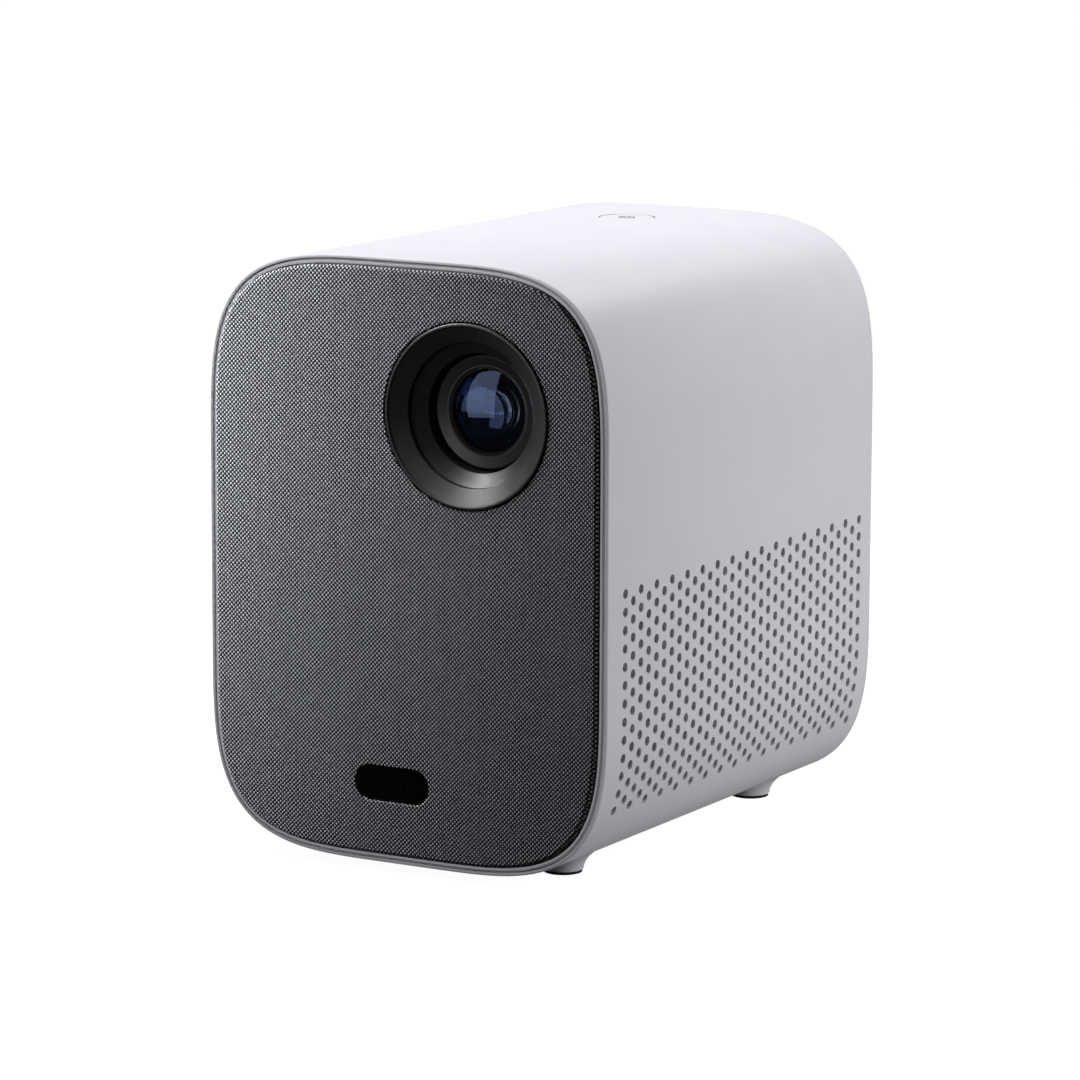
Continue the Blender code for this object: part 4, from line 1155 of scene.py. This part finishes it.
def make_camera():
    """A long lens from the front right, a little above."""
    camera = bpy.data.objects.new("camera", bpy.data.cameras.new("camera"))
    camera.data.lens = CAMERA_LENS
    camera.data.sensor_width = 36.0
    camera.data.clip_end = 100.0
    turn = Matrix.Rotation(math.radians(CAMERA_YAW), 4, "Z")
    turn @= Matrix.Rotation(math.radians(90 - CAMERA_PITCH), 4, "X")
    turn @= Matrix.Rotation(math.radians(CAMERA_ROLL), 4, "Z")
    back = turn.to_3x3() @ Vector((0, 0, 1))
    camera.matrix_world = Matrix.Translation((CAMERA_TARGET + back * CAMERA_DISTANCE) * MM) @ turn
    bpy.context.scene.collection.objects.link(camera)
    bpy.context.scene.camera = camera


def make_floor(name, height, colour, glow, seen):
    """A wide plain floor. The one that the camera sees glows; the other only sends light back up."""
    half = 8000.0 * MM
    height *= MM
    mesh = bpy.data.meshes.new(name)
    corners = [(-half, -half, height), (half, -half, height), (half, half, height), (-half, half, height)]
    mesh.from_pydata(corners, [], [(0, 1, 2, 3)])
    floor = bpy.data.objects.new(name, mesh)
    material = bpy.data.materials.new(name)
    material.use_nodes = True
    shader = material.node_tree.nodes["Principled BSDF"]
    shader.inputs["Base Color"].default_value = (colour, colour, colour, 1.0)
    shader.inputs["Roughness"].default_value = 0.9
    shader.inputs["Specular IOR Level"].default_value = 0.0
    shader.inputs["Emission Color"].default_value = (1.0, 1.0, 1.0, 1.0)
    shader.inputs["Emission Strength"].default_value = glow
    mesh.materials.append(material)
    bpy.context.scene.collection.objects.link(floor)
    floor.visible_camera = seen
    floor.visible_diffuse = not seen
    floor.visible_glossy = False
    floor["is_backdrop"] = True


def make_world():
    """A dim surround that grows bright behind and to the left, so that no side is black."""
    world = bpy.data.worlds.new("studio")
    bpy.context.scene.world = world
    world.use_nodes = True
    tree = world.node_tree
    direction = tree.nodes.new("ShaderNodeTexCoord").outputs["Generated"]
    dot = tree.nodes.new("ShaderNodeVectorMath")
    dot.operation = "DOT_PRODUCT"
    dot.inputs[1].default_value = SURROUND_SIDE
    tree.links.new(direction, dot.inputs[0])
    level = tree.nodes.new("ShaderNodeMapRange")
    level.inputs["From Min"].default_value = 0.0
    level.inputs["To Min"].default_value = SURROUND_LOW
    level.inputs["To Max"].default_value = SURROUND_HIGH
    tree.links.new(dot.outputs["Value"], level.inputs["Value"])
    tree.links.new(level.outputs["Result"], tree.nodes["Background"].inputs["Color"])


def make_soft_box(name, centre, target, width, height, strength, colour, only=()):
    """A rectangular light that the camera doesn't see, on everything or only on some pieces."""
    light = bpy.data.lights.new(name, "AREA")
    light.shape = "RECTANGLE"
    light.size = width * MM
    light.size_y = height * MM
    light.energy = strength * math.pi * width * height * MM**2
    light.color = colour
    lamp = bpy.data.objects.new(name, light)
    aim = Vector(target) - Vector(centre)
    lamp.location = Vector(centre) * MM
    lamp.rotation_euler = aim.to_track_quat("-Z", "Y").to_euler()
    lamp.visible_camera = False
    bpy.context.scene.collection.objects.link(lamp)
    if only:
        lit = bpy.data.collections.new(name + "_lights")
        for piece in only:
            lit.objects.link(bpy.data.objects[piece])
        lamp.light_linking.receiver_collection = lit


WHITE = (1.0, 1.0, 1.0)
COOL = (1.0, 1.0, 1.03)
COOLER = (1.0, 1.0, 1.05)
BLUE = (0.86, 0.88, 1.0)

# Each light has a name, a centre, the point it faces, a width, a height, a strength and a colour.
SHELL_BOXES = [
    ("right_rear_box", (330, 260, 170), (57, 0, 80), 200, 300, 1.45, COOL),
    ("left_overhead_box", (-150, -50, 420), (0, -20, 150), 250, 250, 4.6, COOLER),
    ("right_overhead_box", (100, 150, 420), (0, 20, 150), 250, 250, 3.1, COOLER),
    ("right_low_box", (350, 50, 30), (57, 0, 60), 200, 60, 9.8, COOL),
]

# This one lights the rim and the lens hood from the front, and is kept off the dark cloth.
RIM_BOXES = [
    ("rim_box", (-160, -760, 260), (0, -72, 110), 400, 300, 4.2, COOL),
]
RIM_PIECES = ["shell_sleeve", "trim_ring", "lens_hood", "focus_sleeve"]

# These skim the front from close by on the left, and are kept off the shell beside it.
CLOTH_BOXES = [
    ("left_middle_box", (-135, -100, 150), (-30, -72, 110), 60, 100, 27.0, COOL),
    ("left_low_box", (-135, -102, 62), (-20, -72, 60), 60, 130, 13.0, COOL),
]
CLOTH_PIECES = ["grille_cloth"]
FRONT_BOXES = [
    ("left_high_box", (-95, -102, 235), (-30, -72, 110), 80, 60, 32.0, WHITE),
]
FRONT_PIECES = ["grille_cloth", "lens_hood"]

# This one shows as a blue panel mirrored in the lens, and lights nothing else.
LENS_BOXES = [
    ("lens_box", (-700, -760, 240), (18, -72, 117), 840, 760, 1.0, BLUE),
]
LENS_PIECES = ["objective_lens"]


dress_cad_nodes()
make_shell()
make_trim_ring()
make_fabric()
make_lens_hood()
make_window()
make_focus_cell()
make_button()
make_feet()
make_thread_insert()
make_back_cover()
make_cover_screws()
make_side_mesh()

make_camera()
make_world()
make_floor("floor", -0.05, colour=0.5, glow=0.96, seen=True)
make_floor("floor_bounce", -0.1, colour=0.29, glow=0.0, seen=False)
for boxes, pieces in (
    (SHELL_BOXES, ()),
    (CLOTH_BOXES, CLOTH_PIECES),
    (FRONT_BOXES, FRONT_PIECES),
    (RIM_BOXES, RIM_PIECES),
    (LENS_BOXES, LENS_PIECES),
):
    for box in boxes:
        make_soft_box(*box, only=pieces)
bpy.context.scene.view_settings.view_transform = "Standard"

boxes = {"cad": CAD_BOX, "visual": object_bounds()}
